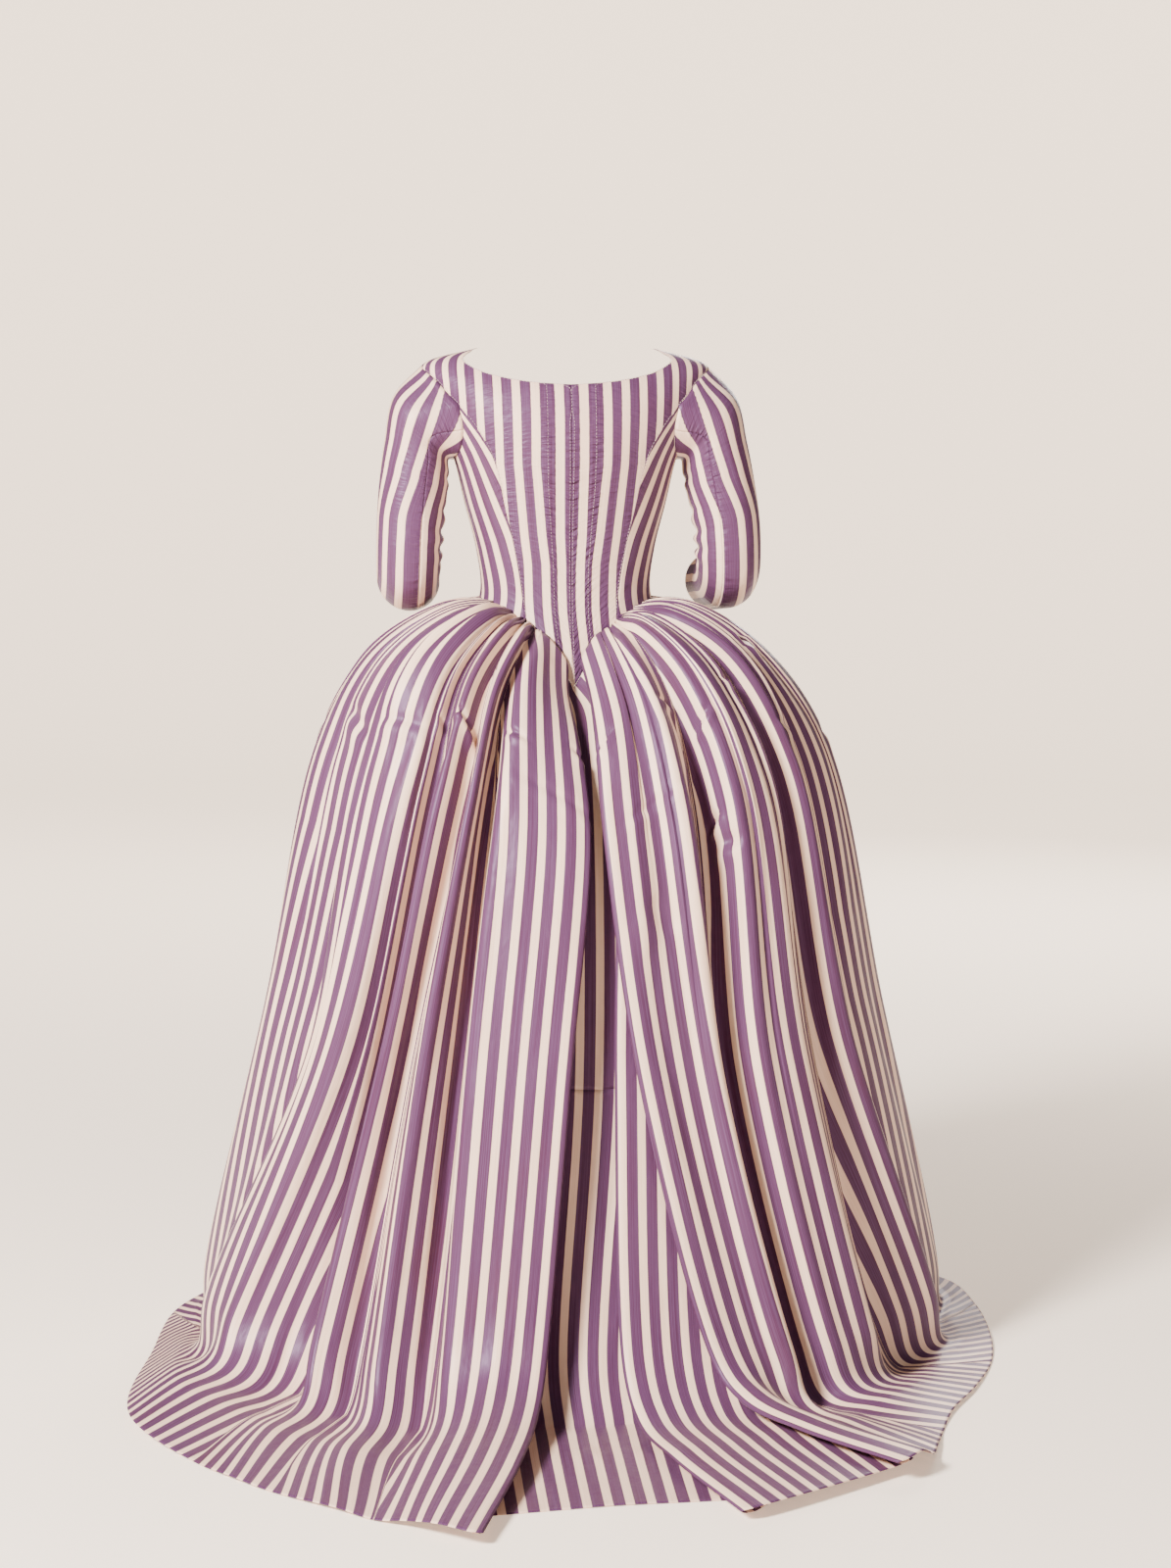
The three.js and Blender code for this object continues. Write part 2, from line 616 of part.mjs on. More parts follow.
function bodiceMeshes(side) {
  const suffix = side > 0 ? "left" : "right";
  const half = SEAM / 2;
  return PIECES.map((piece, k) => {
    const places = piecePlaces(piece);
    const towardBack = piece.name === "bodice_front";
    if ((side > 0) !== towardBack) places.reverse();
    const grid = places.map((column) => column.map(([a, z]) => bodyPoint(a * side, z)));
    const normals = places.map((column) => column.map(([a, z]) => bodyNormal(a * side, z)));
    const edges = { first: half, final: half, top: SEAM, bottom: 0 };
    const color = [0xcbb7c4, 0xb595b4, 0x9c7aa0][k];
    return wall(`${piece.name}_${suffix}`, inset(grid, edges), normals, color);
  });
}

// Sleeve ring as points round the arm; step 0 is the outside of the arm and the steps run over the back.
function armRing(ring, side, k) {
  const points = [];
  const out = Math.min(k / 3, 1) * (side > 0 ? ARM_OUT.left : ARM_OUT.right);
  for (let n = 0; n < ARM_STEPS; n += 1) {
    const turn = (n / ARM_STEPS) * 2 * Math.PI;
    const across = Math.cos(turn) * ring.wide;
    const along = Math.sin(turn) * ring.deep;
    const y = ring.y + along * Math.cos(rad(ring.tilt));
    const z = ring.z - along * Math.sin(rad(ring.tilt)) + across * Math.sin(rad(ring.lean));
    points.push([side * (ring.x + out + across * Math.cos(rad(ring.lean))), y, z]);
  }
  return points;
}

// The head of the sleeve follows the armhole, just outside it, from the shoulder over the back.
function armholeRing(side) {
  const parts = [
    { edge: [...ARMHOLE_BACK].reverse(), steps: 4 },
    { edge: ARMHOLE_UNDER, steps: 6 },
    { edge: ARMHOLE_FRONT, steps: 10 },
  ];
  const points = [];
  for (const part of parts) {
    const path = edgeCurve(part.edge);
    for (let n = 0; n < part.steps; n += 1) {
      const [angle, height] = path(n / part.steps);
      const [x, y, z] = bodyPoint(angle * side, height);
      points.push([x + side * HEAD_GAP, y, z]);
    }
  }
  return points;
}

function sleeveMeshes(side) {
  const suffix = side > 0 ? "left" : "right";
  const rings = [armholeRing(side), ...ARM.map((ring, k) => armRing(ring, side, k))];
  const columns = [];
  const rows = [0, 0.5, 1, 1.5, 2, 3, 4, 4.5, 5, 5.5, 6, 6.5, 7, 8, 9];
  for (let n = 0; n < ARM_STEPS; n += 1) {
    columns.push(rows.map(curve(rings.map((ring) => ring[n]))));
  }
  const looped = [...columns, columns[0]];
  const around = gridNormals([columns[ARM_STEPS - 1], ...looped, columns[1]]).slice(1, -1);
  const normals = around.map((column) => column.map((n) => n.map((v) => v * side)));
  const pick = (source, from, to) => {
    const out = [];
    for (let n = from; n <= to; n += 1) out.push(source[n % ARM_STEPS]);
    return out;
  };
  const half = SEAM / 2;
  const edges = { first: half, final: half };
  const parts = [
    { name: "sleeve_under", from: BACK_SEAM, to: FRONT_SEAM, color: 0xcbb7c4 },
    { name: "sleeve_outer", from: FRONT_SEAM, to: BACK_SEAM + ARM_STEPS, color: 0xb595b4 },
  ];
  return parts.map((part) => {
    const grid = pick(columns, part.from, part.to);
    const out = pick(normals, part.from, part.to);
    if (side < 0) {
      grid.reverse();
      out.reverse();
    }
    return wall(`${part.name}_${suffix}`, inset(grid, edges), out, part.color);
  });
}

const gown = new THREE.Group();
gown.name = "english_gown";
for (const mesh of skirtMeshes()) gown.add(mesh);
for (const side of [1, -1]) {
  for (const mesh of bodiceMeshes(side)) gown.add(mesh);
  for (const mesh of sleeveMeshes(side)) gown.add(mesh);
}
for (const mesh of gown.children) mesh.position.set(0, 0, -SHOULDER);

export default gown;
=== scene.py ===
# %% [markdown]
# # A striped silk gown with a train, seen from behind
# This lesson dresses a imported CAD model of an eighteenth-century gown cut in the English way: a bodice
# shaped at the back, two bent sleeves and an open skirt with a train. The CAD solids are plain walls.
# Here each of them gets a thin silk shell on the same form, with a finer net, the small pleats, the
# puckers along the sewing, and stripes that follow the cloth as it was cut.
# Everything is in the CAD's own frame. The tables are in millimetres, as on a pattern, and points
# become metres only when a mesh is made.

# %% Load the frame
import math

import bpy
import numpy as np
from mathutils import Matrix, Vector


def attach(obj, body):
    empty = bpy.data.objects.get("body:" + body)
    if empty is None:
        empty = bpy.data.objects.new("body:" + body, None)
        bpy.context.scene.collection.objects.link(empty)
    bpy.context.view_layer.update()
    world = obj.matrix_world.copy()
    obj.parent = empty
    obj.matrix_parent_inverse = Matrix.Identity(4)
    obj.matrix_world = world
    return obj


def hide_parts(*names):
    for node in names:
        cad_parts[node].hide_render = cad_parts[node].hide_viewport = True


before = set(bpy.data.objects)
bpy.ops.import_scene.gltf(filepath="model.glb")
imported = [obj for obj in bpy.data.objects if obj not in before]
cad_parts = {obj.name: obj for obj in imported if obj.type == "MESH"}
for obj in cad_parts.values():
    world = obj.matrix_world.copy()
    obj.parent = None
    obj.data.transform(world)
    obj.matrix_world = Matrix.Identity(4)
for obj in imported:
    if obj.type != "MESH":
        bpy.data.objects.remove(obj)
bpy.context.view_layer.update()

# %% [markdown]
# ## Adding things to the scene
# Three small helpers do what every piece, lamp and material below needs.

# %% Scene helpers
def add(name, data):
    thing = bpy.data.objects.new(name, data)
    bpy.context.scene.collection.objects.link(thing)
    return thing


def add_mesh(name, points, faces):
    mesh = bpy.data.meshes.new(name)
    mesh.from_pydata(points, [], faces)
    return add(name, mesh)


def new_material(name, values):
    """A material, and its shader with the given constant values."""
    material = bpy.data.materials.new(name)
    material.use_nodes = True
    shader = material.node_tree.nodes["Principled BSDF"]
    for label, value in values.items():
        shader.inputs[label].default_value = value
    return material, shader


# %% [markdown]
# ## The camera
# The gown is looked at from a little above the waist, from behind and slightly from the wearer's left.
# A long lens from about four metres keeps the skirt from looking wide at the bottom. The camera is
# aimed by its direction, so no lens shift is needed.

# %% Camera
SHOULDER = 1290  # height of the gown's mount above the floor
FLOOR = -SHOULDER / 1000
IMAGE_HEIGHT = 1600
SENSOR = 36
FOCAL_PIXELS = 3045.1
CAMERA_AWAY = 3.961
CAMERA_ABOVE_FLOOR = 1.172
CAMERA_ROUND = math.radians(5.0)
LOOK_ROUND = math.radians(5.388)
LOOK_DOWN = math.radians(6.295)


def make_camera():
    data = bpy.data.cameras.new("camera")
    data.sensor_width = SENSOR
    data.lens = FOCAL_PIXELS * SENSOR / IMAGE_HEIGHT
    camera = add("camera", data)
    camera.location = (
        CAMERA_AWAY * math.sin(CAMERA_ROUND),
        CAMERA_AWAY * math.cos(CAMERA_ROUND),
        CAMERA_ABOVE_FLOOR + FLOOR,
    )
    look = Vector((
        -math.sin(LOOK_ROUND) * math.cos(LOOK_DOWN),
        -math.cos(LOOK_ROUND) * math.cos(LOOK_DOWN),
        -math.sin(LOOK_DOWN),
    ))
    camera.rotation_euler = look.to_track_quat("-Z", "Y").to_euler()
    bpy.context.scene.camera = camera
    return camera


print("camera at", [round(v, 3) for v in make_camera().location])

# %% [markdown]
# ## Tables and curves
# The gown's sizes are short tables: the first line names the columns, and each row is one section,
# fold or piece.
# A dressmaker draws a curve through a few chalk marks. `curve` does the same in any number of
# dimensions. It spaces its marks by the square root of their distance, so that it never loops where
# they lie close together. Given a list of parameters, it gives all the points at once.

# %% Tables and curves
def table(columns, *rows):
    return [dict(zip(columns.split(), row, strict=True)) for row in rows]


def column(rows, name):
    return np.array([row[name] for row in rows], float)


def curve(points):
    p = np.asarray(points, float)
    last = len(p) - 1
    step = np.sqrt(np.maximum(np.linalg.norm(np.diff(p, axis=0), axis=1), 1e-6))
    slope = np.empty_like(p)
    slope[0] = (p[1] - p[0]) / step[0]
    slope[-1] = (p[-1] - p[-2]) / step[-1]
    a, b = step[:-1, None], step[1:, None]
    slope[1:-1] = ((p[1:-1] - p[:-2]) / a * b + (p[2:] - p[1:-1]) / b * a) / (a + b)

    def at(t):
        t = np.atleast_1d(np.asarray(t, float))
        k = np.clip(np.floor(t).astype(int), 0, last - 1)
        f = (t - k)[:, None]
        g = 1 - f
        ends = (1 + 2 * f) * g * g * p[k] + f * f * (3 - 2 * f) * p[k + 1]
        return ends + step[k][:, None] * (f * g * g * slope[k] - f * f * g * slope[k + 1])

    return at


def smooth_lookup(keys, values, key):
    place = np.interp(key, keys, np.arange(len(keys)))
    return curve(np.stack([np.arange(len(keys)) * 60, values], 1))(place)[:, 1]


def unit(v):
    return v / np.maximum(np.linalg.norm(v, axis=-1, keepdims=True), 1e-12)


def ease(x):
    x = np.clip(x, 0, 1)
    return x * x * (3 - 2 * x)


# %% [markdown]
# ## The body under the bodice
# The bodice is fitted, so its shape is that of the figure: a row for each height gives the half width
# and the depth behind and in front of the axis. The waist seam dips to a point at the back.

# %% Body rings
ROUND = 0.92  # power of the sine and cosine: a little squarer than an oval
WALL = 1.2  # thickness of the CAD walls
SEAM = 0.3  # gap between them
TUCK = 2  # how far the skirt's edge lies below the bodice's
REST = 0.65  # height of the cloth's middle where it lies on the floor
BODY = table(
    "z wide back front",
    (860, 146, 132, 112),
    (920, 130, 108, 106),
    (965, 119, 92, 100),
    (1000, 112, 86, 97),
    (1050, 118, 88, 103),
    (1110, 133, 97, 118),
    (1165, 146, 106, 126),
    (1220, 168, 104, 116),
    (1260, 182, 88, 92),
    (1290, 186, 56, 58),
    (1312, 112, 26, 30),
)
WAIST = table(
    "angle z",
    (0, 878),
    (8, 912),
    (16, 936),
    (26, 956),
    (42, 973),
    (70, 985),
    (110, 987),
    (150, 975),
    (180, 958),
)
body_curve = curve(np.stack([column(BODY, k) for k in ("z", "wide", "back", "front")], 1))
BODY_STEPS = body_curve(np.linspace(0, len(BODY) - 1, 2001))


def waist_height(angle):
    return smooth_lookup(column(WAIST, "angle"), column(WAIST, "z"), np.abs(angle))


def body_point(angle, z):
    angle, z = np.broadcast_arrays(np.asarray(angle, float), np.asarray(z, float))
    wide, back, front = (np.interp(z, BODY_STEPS[:, 0], BODY_STEPS[:, k]) for k in (1, 2, 3))
    c, s = np.cos(np.radians(angle)), np.sin(np.radians(angle))
    deep = np.where(c > 0, back, front)
    x = wide * np.sign(s) * np.abs(s) ** ROUND
    return np.stack([x, deep * np.sign(c) * np.abs(c) ** ROUND, z], -1)


print("the back point is", waist_height(0)[0], "mm above the floor")

# %% [markdown]
# ## The skirt's folds
# The skirt is a fan of fold lines from the waist seam to the hem. Each row below is one ridge, valley
# or face, with its angle from the centre back at the seam, hip, knee, foot and hem, and how deep it
# lies behind the outermost ring at the seam, rump, hip, knee and foot. `edge` is the radius of the hem
# and `lift` the height of the cloth off the floor at the foot and the hem.
# The middle is a box pleat in layers. Its turns are a table of their own: the side to which a turn
# opens, the two layers that it joins, and how its lift drops at the hem.

# %% Skirt rings and fold lines
LEFT_DRAW = [0, 0, 0.065, 0.055, 0.03]  # share by which the left side of each ring is drawn in
RING_ANGLES = [0, 30, 60, 90, 130, 170]
RINGS = table(
    "name r z",
    ("crest", [158, 156, 168, 165, 156, 142], [858, 952, 980, 970, 966, 962]),
    ("rump", [222, 232, 254, 257, 220, 176], [812, 888, 926, 914, 902, 890]),
    ("hip", [297, 312, 332, 347, 288, 212], [700, 745, 785, 795, 780, 760]),
    ("knee", [372, 386, 408, 427, 360, 272], [400, 415, 430, 440, 430, 420]),
    ("foot", [452, 470, 498, 517, 450, 350], [72, 72, 76, 80, 60, 50]),
)


FOLDS_LEFT = table(
    "name angle deep edge lift",
    ("front_edge_l", [150, 154, 153, 151, 151], [0, 0, 0, 0, 0], 425, [2, 1]),
    ("front_ridge_l", [128, 139, 138, 137, 138], [0, 0, 0, 0, 0], 455, [10, 5]),
    ("front_valley_l", [104, 124, 124, 123, 125], [0, 12, 18, 22, 26], 482, [2, 1]),
    ("side_ridge_l", [82, 108, 110, 109, 114], [0, 0, 0, 0, 0], 512, [12, 4]),
    ("side_face_l", [64, 88, 88, 97, 106], [0, 0, 0, 0, 4], 530, [10, 2]),
    ("panel_valley_l", [50, 68, 65, 85, 99], [0, 26, 34, 26, 36], 540, [2, 1]),
    ("round_ridge_l", [44, 60, 61, 76, 80], [0, 0, 0, 0, 0], 560, [14, 6]),
    ("corner_ridge_l", [38, 46, 52, 65, 55], [0, 0, 0, 0, 0], 690, [26, 12]),
    ("pinch_valley_l", [34, 40, 46, 53, 42], [0, 22, 34, 46, 60], 722, [2, 1]),
    ("pinch_ridge_l", [30, 36, 42, 46.5, 36], [0, 0, 4, 8, 10], 742, [12, 3]),
    ("deep_valley_l", [27, 31, 38.5, 41, 31], [0, 26, 36, 32, 38], 757, [2, 1]),
    ("narrow_ridge_l", [24, 28, 33, 34, 24], [0, 2, 4, 2, 0], 783, [16, 4]),
    ("flap_valley_l", [21, 25, 27.5, 27.5, 20.5], [-2, 36, 56, 46, 36], 798, [2, 1]),
    ("flap_shoulder_l", [17.5, 20.5, 23, 23, 17.5], [-9, 2, 2, 0, 0], 814, [24, 9]),
    ("flap_face_l", [13, 10, 13.5, 15.5, 14.6], [-12, 0, 0, 0, 0], 840, [38, 18]),
)
FOLDS_RIGHT = table(
    "name angle deep edge lift",
    ("flap_face_r", [-14.5, -10.5, -14, -21.5, -28.4], [-12, 0, 0, 0, 0], 752, [38, 31]),
    ("flap_dip_r", [-20, -17.5, -20.5, -27.5, -31.5], [-7, 8, 12, 10, 8], 724, [16, 10]),
    ("flap_ridge_r", [-23, -24, -24.5, -30.5, -34.5], [-2, 0, 0, 0, 0], 694, [16, 6]),
    ("knot_valley_r", [-26, -31, -29, -34, -39], [0, 26, 44, 34, 32], 656, [2, 1]),
    ("knot_ridge_r", [-30, -37, -34.5, -39, -45], [0, 0, 0, 0, 0], 622, [16, 4]),
    ("round_face_r", [-33, -45, -44, -47, -54], [0, 0, 0, 0, 0], 602, [14, 4]),
    ("low_valley_r", [-36, -53, -53, -56, -66], [0, 16, 22, 24, 34], 586, [2, 1]),
    ("low_ridge_r", [-41, -58, -58, -67, -76], [0, 0, 0, 0, 0], 574, [12, 3]),
    ("panel_valley_r", [-50, -66, -65, -79, -92], [0, 14, 20, 20, 32], 572, [2, 1]),
    ("side_face_r", [-64, -84, -84, -92, -104], [0, 0, 0, 0, 0], 574, [10, 3]),
    ("side_ridge_r", [-82, -104, -106, -107, -114], [0, 0, 0, 0, 0], 528, [12, 4]),
    ("front_valley_r", [-104, -121, -121, -121, -124], [0, 12, 16, 20, 26], 482, [2, 1]),
    ("front_ridge_r", [-128, -137, -136, -136, -138], [0, 0, 0, 0, 0], 452, [10, 5]),
    ("front_edge_r", [-150, -154, -153, -151, -151], [0, 0, 0, 0, 0], 425, [2, 1]),
)


TURNS = table(
    "name angle side layers edge drop",
    ("flap_edge_l", [5, -1, 4, 8, 11], 1, (0, 1), (858, 850), 0.6),
    ("hidden_turn_l", [10, 8, 12, 16, 14.2], -1, (1, 4), (778, 770), 0.5),
    ("recess_face", [0, -3, -2, 1, 1], 0, (4, 4), (728, 728), 1),
    ("hidden_turn_r", [-13, -12, -14, -14, -16], 1, (4, 3), (742, 745), 1),
    ("band_edge", [-7.5, -7, -4.6, -4, -9], -1, (3, 2), (796, 802), 1),
    ("band_turn", [-12, -13, -16, -23.5, -28], 1, (2, 1), (738, 738), 1),
    ("flap_edge_r", [-6, -4, -9, -18, -25], -1, (1, 0), (755, 762), 1),
)
BACK_LAYER = 4
LAYER = [3, 4.6, 5.2, 6, 8.5, 8.5, 7]  # depth of a layer at the seam, the rings and the hem
RECESS = [0, 1, 5, 14, 26, 24]  # how much deeper the back layer lies
TURN_OFF = [1.4, 1.4, 1.3, 1.2, 1.0, 1.0, 0.8]  # degrees from a turn's edge into its layers
STATIONS = len(RINGS)
CREST_PART, RUMP_PART = 0.42, 0.8  # their places between the seam's angle and the hip's
FOOT_TO_HEM = [(0.16, 0.22), (0.5, 0.5), (1, 1)]  # share of the way out and of the turn

# %% [markdown]
# Each ring is an oval whose radius and height change with the angle. A point on it is pushed inward,
# square to the skirt's surface, by the depth of its fold. The top edge lies just under the bodice's.

# %% Points on the rings
def ring_place(station, angle):
    ring, size = RINGS[station], np.abs(angle)
    r = smooth_lookup(RING_ANGLES, ring["r"], size)
    r = r * np.where(angle > 0, 1 - LEFT_DRAW[station] * np.sin(np.radians(angle)) ** 2, 1)
    z = smooth_lookup(RING_ANGLES, ring["z"], size)
    return np.stack([r * np.sin(np.radians(angle)), r * np.cos(np.radians(angle)), z], -1)


def ring_point(station, angle, depth):
    angle = np.atleast_1d(np.asarray(angle, float))
    here = ring_place(station, angle)
    level = ring_place(station, angle - 1) - ring_place(station, angle + 1)
    above = here * (0.75, 0.75, 1) if station == 0 else ring_place(station - 1, angle)
    below = here - (0, 0, 60) if station == STATIONS - 1 else ring_place(station + 1, angle)
    return here - unit(np.cross(below - above, level)) * depth


def seam_point(angle, depth):
    angle = np.atleast_1d(np.asarray(angle, float))

    def edge(a):
        return body_point(a, waist_height(a) - WALL / 2 - SEAM - TUCK)

    down = ring_place(0, angle * 0.85) - edge(angle)
    out = unit(np.cross(down, edge(angle - 1) - edge(angle + 1)))
    return edge(angle) - out * np.reshape(depth, (-1, 1))


def fold_line(angles, depths, off, edge, lift):
    seam, hip, knee, foot, hem = angles
    near_seam = [seam + (hip - seam) * part for part in (CREST_PART, RUMP_PART)]
    line = [seam_point(seam + off[0], [depths[0]])[0]]
    for s, angle in enumerate([*near_seam, hip, knee, foot]):
        line.append(ring_point(s, angle + off[s + 1], depths[s + 1])[0])
    reach = math.hypot(line[-1][0], line[-1][1])
    for t, bend in FOOT_TO_HEM:
        angle = math.radians((foot + off[5]) * (1 - bend) + (hem + off[6]) * bend)
        r = reach * (1 - t) + edge * t
        z = REST + 1.5 * (1 - t) + (lift[0] * (1 - t) + lift[1] * t) * (1.15 if t < 0.3 else 1)
        line.append([r * math.sin(angle), r * math.cos(angle), z])
    return line


def layer_depth(layer, s):
    stack = (layer - BACK_LAYER) * LAYER[0] if s == 0 else layer * LAYER[s]
    return stack + (RECESS[s] if layer == BACK_LAYER else 0)


def turn_lines(row):
    """A turn of the box pleat: the layer it comes from, the turn and the layer it goes to."""
    start, end = row["layers"]
    places = [(start, start), (start, end), (end, end)] if row["side"] else [(start, end)]
    made = []
    for k, pair in enumerate(places):
        depths = [sum(layer_depth(n, s) for n in pair) / 2 for s in range(STATIONS + 1)]
        off = [v * row["side"] * (pair[0] == pair[1]) for v in TURN_OFF]
        lift = sum(1 + (BACK_LAYER - n) * LAYER[6] for n in pair) / 2
        edge = row["edge"][0] * (1 - k / 2) + row["edge"][1] * k / 2
        made.append({
            "name": row["name"] if k == len(places) // 2 else "",
            "line": fold_line(row["angle"], depths, off, edge, [lift * 1.2, lift * row["drop"]]),
            "seam": (row["angle"][0] + off[0], depths[0]),
        })
    return made


def simple_line(row):
    seam, rump, hip, knee, foot = row["deep"]
    depths = [seam, rump * 0.45, rump, hip, knee, foot]
    line = fold_line(row["angle"], depths, [0] * 7, row["edge"], row["lift"])
    return [{"name": row["name"], "line": line, "seam": (row["angle"][0], depths[0])}]


LINES = [made for row in FOLDS_LEFT for made in simple_line(row)]
LINES += [made for row in TURNS for made in turn_lines(row)]
LINES += [made for row in FOLDS_RIGHT for made in simple_line(row)]
print(len(LINES), "fold lines")

# %% [markdown]
# ## Where the cloth goes out of sight
# The stripes are woven along the length of the silk. A skirt panel is a straight length, as wide at the
# waist as at the hem, and what the waist has no room for is folded away. The bottoms of the deep
# valleys take most of it; they are the sinks below. Each face between two sinks has one anchor, the
# fold edge that its stripes run along. The knife pleats take in the rest on their way to the waist.
# A pleat lies `part` of the way from its fold line to the next and ends at station `down`. `over` says
# which of its sides is on top: 1 is the side nearer the left front edge.

# %% Sinks, anchors and knife pleats
SINKS = [
    "front_valley_l", "panel_valley_l", "pinch_valley_l", "deep_valley_l", "flap_valley_l",
    "hidden_turn_l", "hidden_turn_r", "band_turn", "knot_valley_r", "low_valley_r",
    "panel_valley_r", "front_valley_r",
]
ANCHORS = [
    "front_edge_l", "side_ridge_l", "corner_ridge_l", "pinch_ridge_l", "narrow_ridge_l",
    "flap_edge_l", "recess_face", "band_edge", "flap_edge_r", "knot_ridge_r", "low_ridge_r",
    "side_ridge_r", "front_edge_r",
]
KNIFE_PLEATS = table(
    "line part over deep down",
    ("front_edge_l", 0.42, 1, 4.5, 3.2),
    ("front_edge_l", 0.80, 1, 5.2, 3.9),
    ("front_ridge_l", 0.36, 1, 4.5, 3.0),
    ("front_ridge_l", 0.70, 1, 5.2, 3.6),
    ("front_valley_l", 0.44, 1, 5.2, 3.5),
    ("side_ridge_l", 0.30, 1, 6.0, 4.1),
    ("side_ridge_l", 0.74, 1, 4.5, 3.3),
    ("side_face_l", 0.40, 1, 6.8, 3.9),
    ("panel_valley_l", 0.58, -1, 4.5, 3.4),
    ("round_ridge_l", 0.30, -1, 6.0, 4.6),
    ("round_ridge_l", 0.66, -1, 4.5, 3.6),
    ("corner_ridge_l", 0.46, -1, 5.2, 4.4),
    ("deep_valley_l", 0.45, -1, 3.0, 3.4),
    ("flap_face_r", 0.55, 1, 3.0, 3.4),
    ("flap_dip_r", 0.50, 1, 4.5, 4.2),
    ("knot_ridge_r", 0.42, -1, 6.8, 4.5),
    ("round_face_r", 0.30, -1, 6.0, 4.2),
    ("low_ridge_r", 0.36, -1, 6.8, 4.7),
    ("low_ridge_r", 0.72, -1, 5.2, 3.7),
    ("panel_valley_r", 0.34, -1, 6.0, 4.1),
    ("panel_valley_r", 0.70, -1, 5.2, 3.6),
    ("side_face_r", 0.48, -1, 5.2, 3.9),
    ("side_ridge_r", 0.40, -1, 5.2, 3.5),
    ("side_ridge_r", 0.76, -1, 4.5, 3.1),
    ("front_valley_r", 0.50, -1, 5.2, 3.8),
    ("front_ridge_r", 0.30, -1, 4.5, 3.2),
    ("front_ridge_r", 0.66, -1, 5.2, 3.6),
)
LINE_NAMES = [made["name"] for made in LINES]
PLEAT_STEP = 0.014  # share of a face between the two sides of a pleat's edge
SINK_STEP = 0.03  # share of a face that a sink takes on each side


def place_of(row):
    return LINE_NAMES.index(row["line"]) + row["part"]


# %% [markdown]
# ## The skirt's net
# Running down each fold line and then across them gives a net of points. It passes through the same
# points as the CAD walls, with many more rows and columns, so the silk bends smoothly where the solid
# has flat facets. Each knife pleat has columns of its own on both sides of its edge.

# %% Skirt net
ROW_STEPS = [10, 12, 44, 64, 44, 14, 18, 24]  # rows between one station and the next
COLUMN_STEP = 7.5  # widest step between two columns
SEAM_FIT = 0.4  # share of the way to the first ring over which the net is fitted to the seam
ROW_AT = np.concatenate([k + np.arange(n) / n for k, n in enumerate(ROW_STEPS)] + [[len(ROW_STEPS)]])


def column_places(lines):
    gaps = np.linalg.norm(np.diff(lines, axis=0), axis=2).max(axis=1)
    steps = np.maximum(np.ceil(gaps / COLUMN_STEP).astype(int), 2)
    own = [place_of(one) + PLEAT_STEP * n for one in KNIFE_PLEATS for n in (-2, 0, 1, 3)]
    own += [LINE_NAMES.index(name) + SINK_STEP * n for name in SINKS for n in (-1, 1)]
    own = np.array(own)
    places = [float(k) for k in range(len(lines))]
    for k, n in enumerate(steps):
        even = k + np.arange(1, n) / n
        places += [p for p in even if np.abs(own - p).min() > 0.4 / n]
    return np.sort(np.concatenate([places, own]))


def skirt_net():
    lines = np.stack([curve(made["line"])(ROW_AT) for made in LINES])
    place = column_places(lines)
    net = np.stack([curve(lines[:, j])(place) for j in range(len(ROW_AT))], axis=1)
    seams = curve([(2 * made["seam"][0], made["seam"][1]) for made in LINES])(place)
    shift = seam_point(seams[:, 0] / 2, seams[:, 1]) - net[:, 0]
    net += shift[:, None] * (np.clip(1 - ROW_AT / SEAM_FIT, 0, 1) ** 2)[None, :, None]
    return net, place


skirt, PLACE = skirt_net()
print("skirt net", skirt.shape[:2], "columns and rows")


def column_at(place):
    return int(np.searchsorted(PLACE, place - 1e-6))


START = {name: column_at(k) for k, name in enumerate(LINE_NAMES) if name}
PLEATS_AT = sorted(((column_at(place_of(one)), one) for one in KNIFE_PLEATS), key=lambda c: c[0])
SINKS_AT = [START[name] for name in SINKS]


def net_normals(net):
    return unit(np.cross(np.gradient(net, axis=1), np.gradient(net, axis=0)))


def along(net, axis):
    """Distance along the net's columns (axis 0) or rows (axis 1), from the first."""
    step = np.linalg.norm(np.diff(net, axis=axis), axis=2)
    zero = np.zeros_like(np.take(step, [0], axis))
    return np.concatenate([zero, np.cumsum(step, axis)], axis)


# %% [markdown]
# ## How the stripes run
# From its anchor each face is measured across, row by row. At a knife pleat the measure jumps by what
# the pleat takes in at that height: the width that its stretch of cloth gains from there down to where
# the pleat ends. At the sink the measure jumps to the widest that the face gets anywhere.

# %% Measure across the skirt's silk
def face_measure(run, anchor, end):
    way = 1 if end > anchor else -1
    columns = np.arange(anchor, end + way, way)
    from_anchor = np.abs(run[columns] - run[anchor])
    measure = from_anchor.copy()
    low, high = sorted((anchor, end))
    inside = [(c, one) for c, one in PLEATS_AT if low < c < high][::way]
    marks = [np.abs(run[c] - run[anchor]) for c, _ in inside] + [from_anchor[-1]]
    near = 0
    for k, (c, one) in enumerate(inside):
        far = (marks[k] + marks[k + 1]) / 2
        held = far - near
        end_row = int(np.searchsorted(ROW_AT, one["down"]))
        taken = np.clip(held[end_row] - held, 0, None) * (np.arange(len(held)) <= end_row)
        measure[(columns > c) if way > 0 else (columns <= c)] += taken
        near = far
    whole = measure[-1].max()
    measure[-1] = whole
    return columns, measure, whole


def measure_across(net):
    run = along(net, 0)
    across = np.zeros(run.shape)
    edges = [0, *SINKS_AT, len(net) - 1]
    here = 0.0
    for k, name in enumerate(ANCHORS):
        anchor = START[name]
        for end, way in ((edges[k], -1), (edges[k + 1], 1)):
            if end != anchor:
                columns, measure, whole = face_measure(run, anchor, end)
                start = here + whole if way < 0 else here
                across[columns] = start + way * measure
                here += whole
    return across


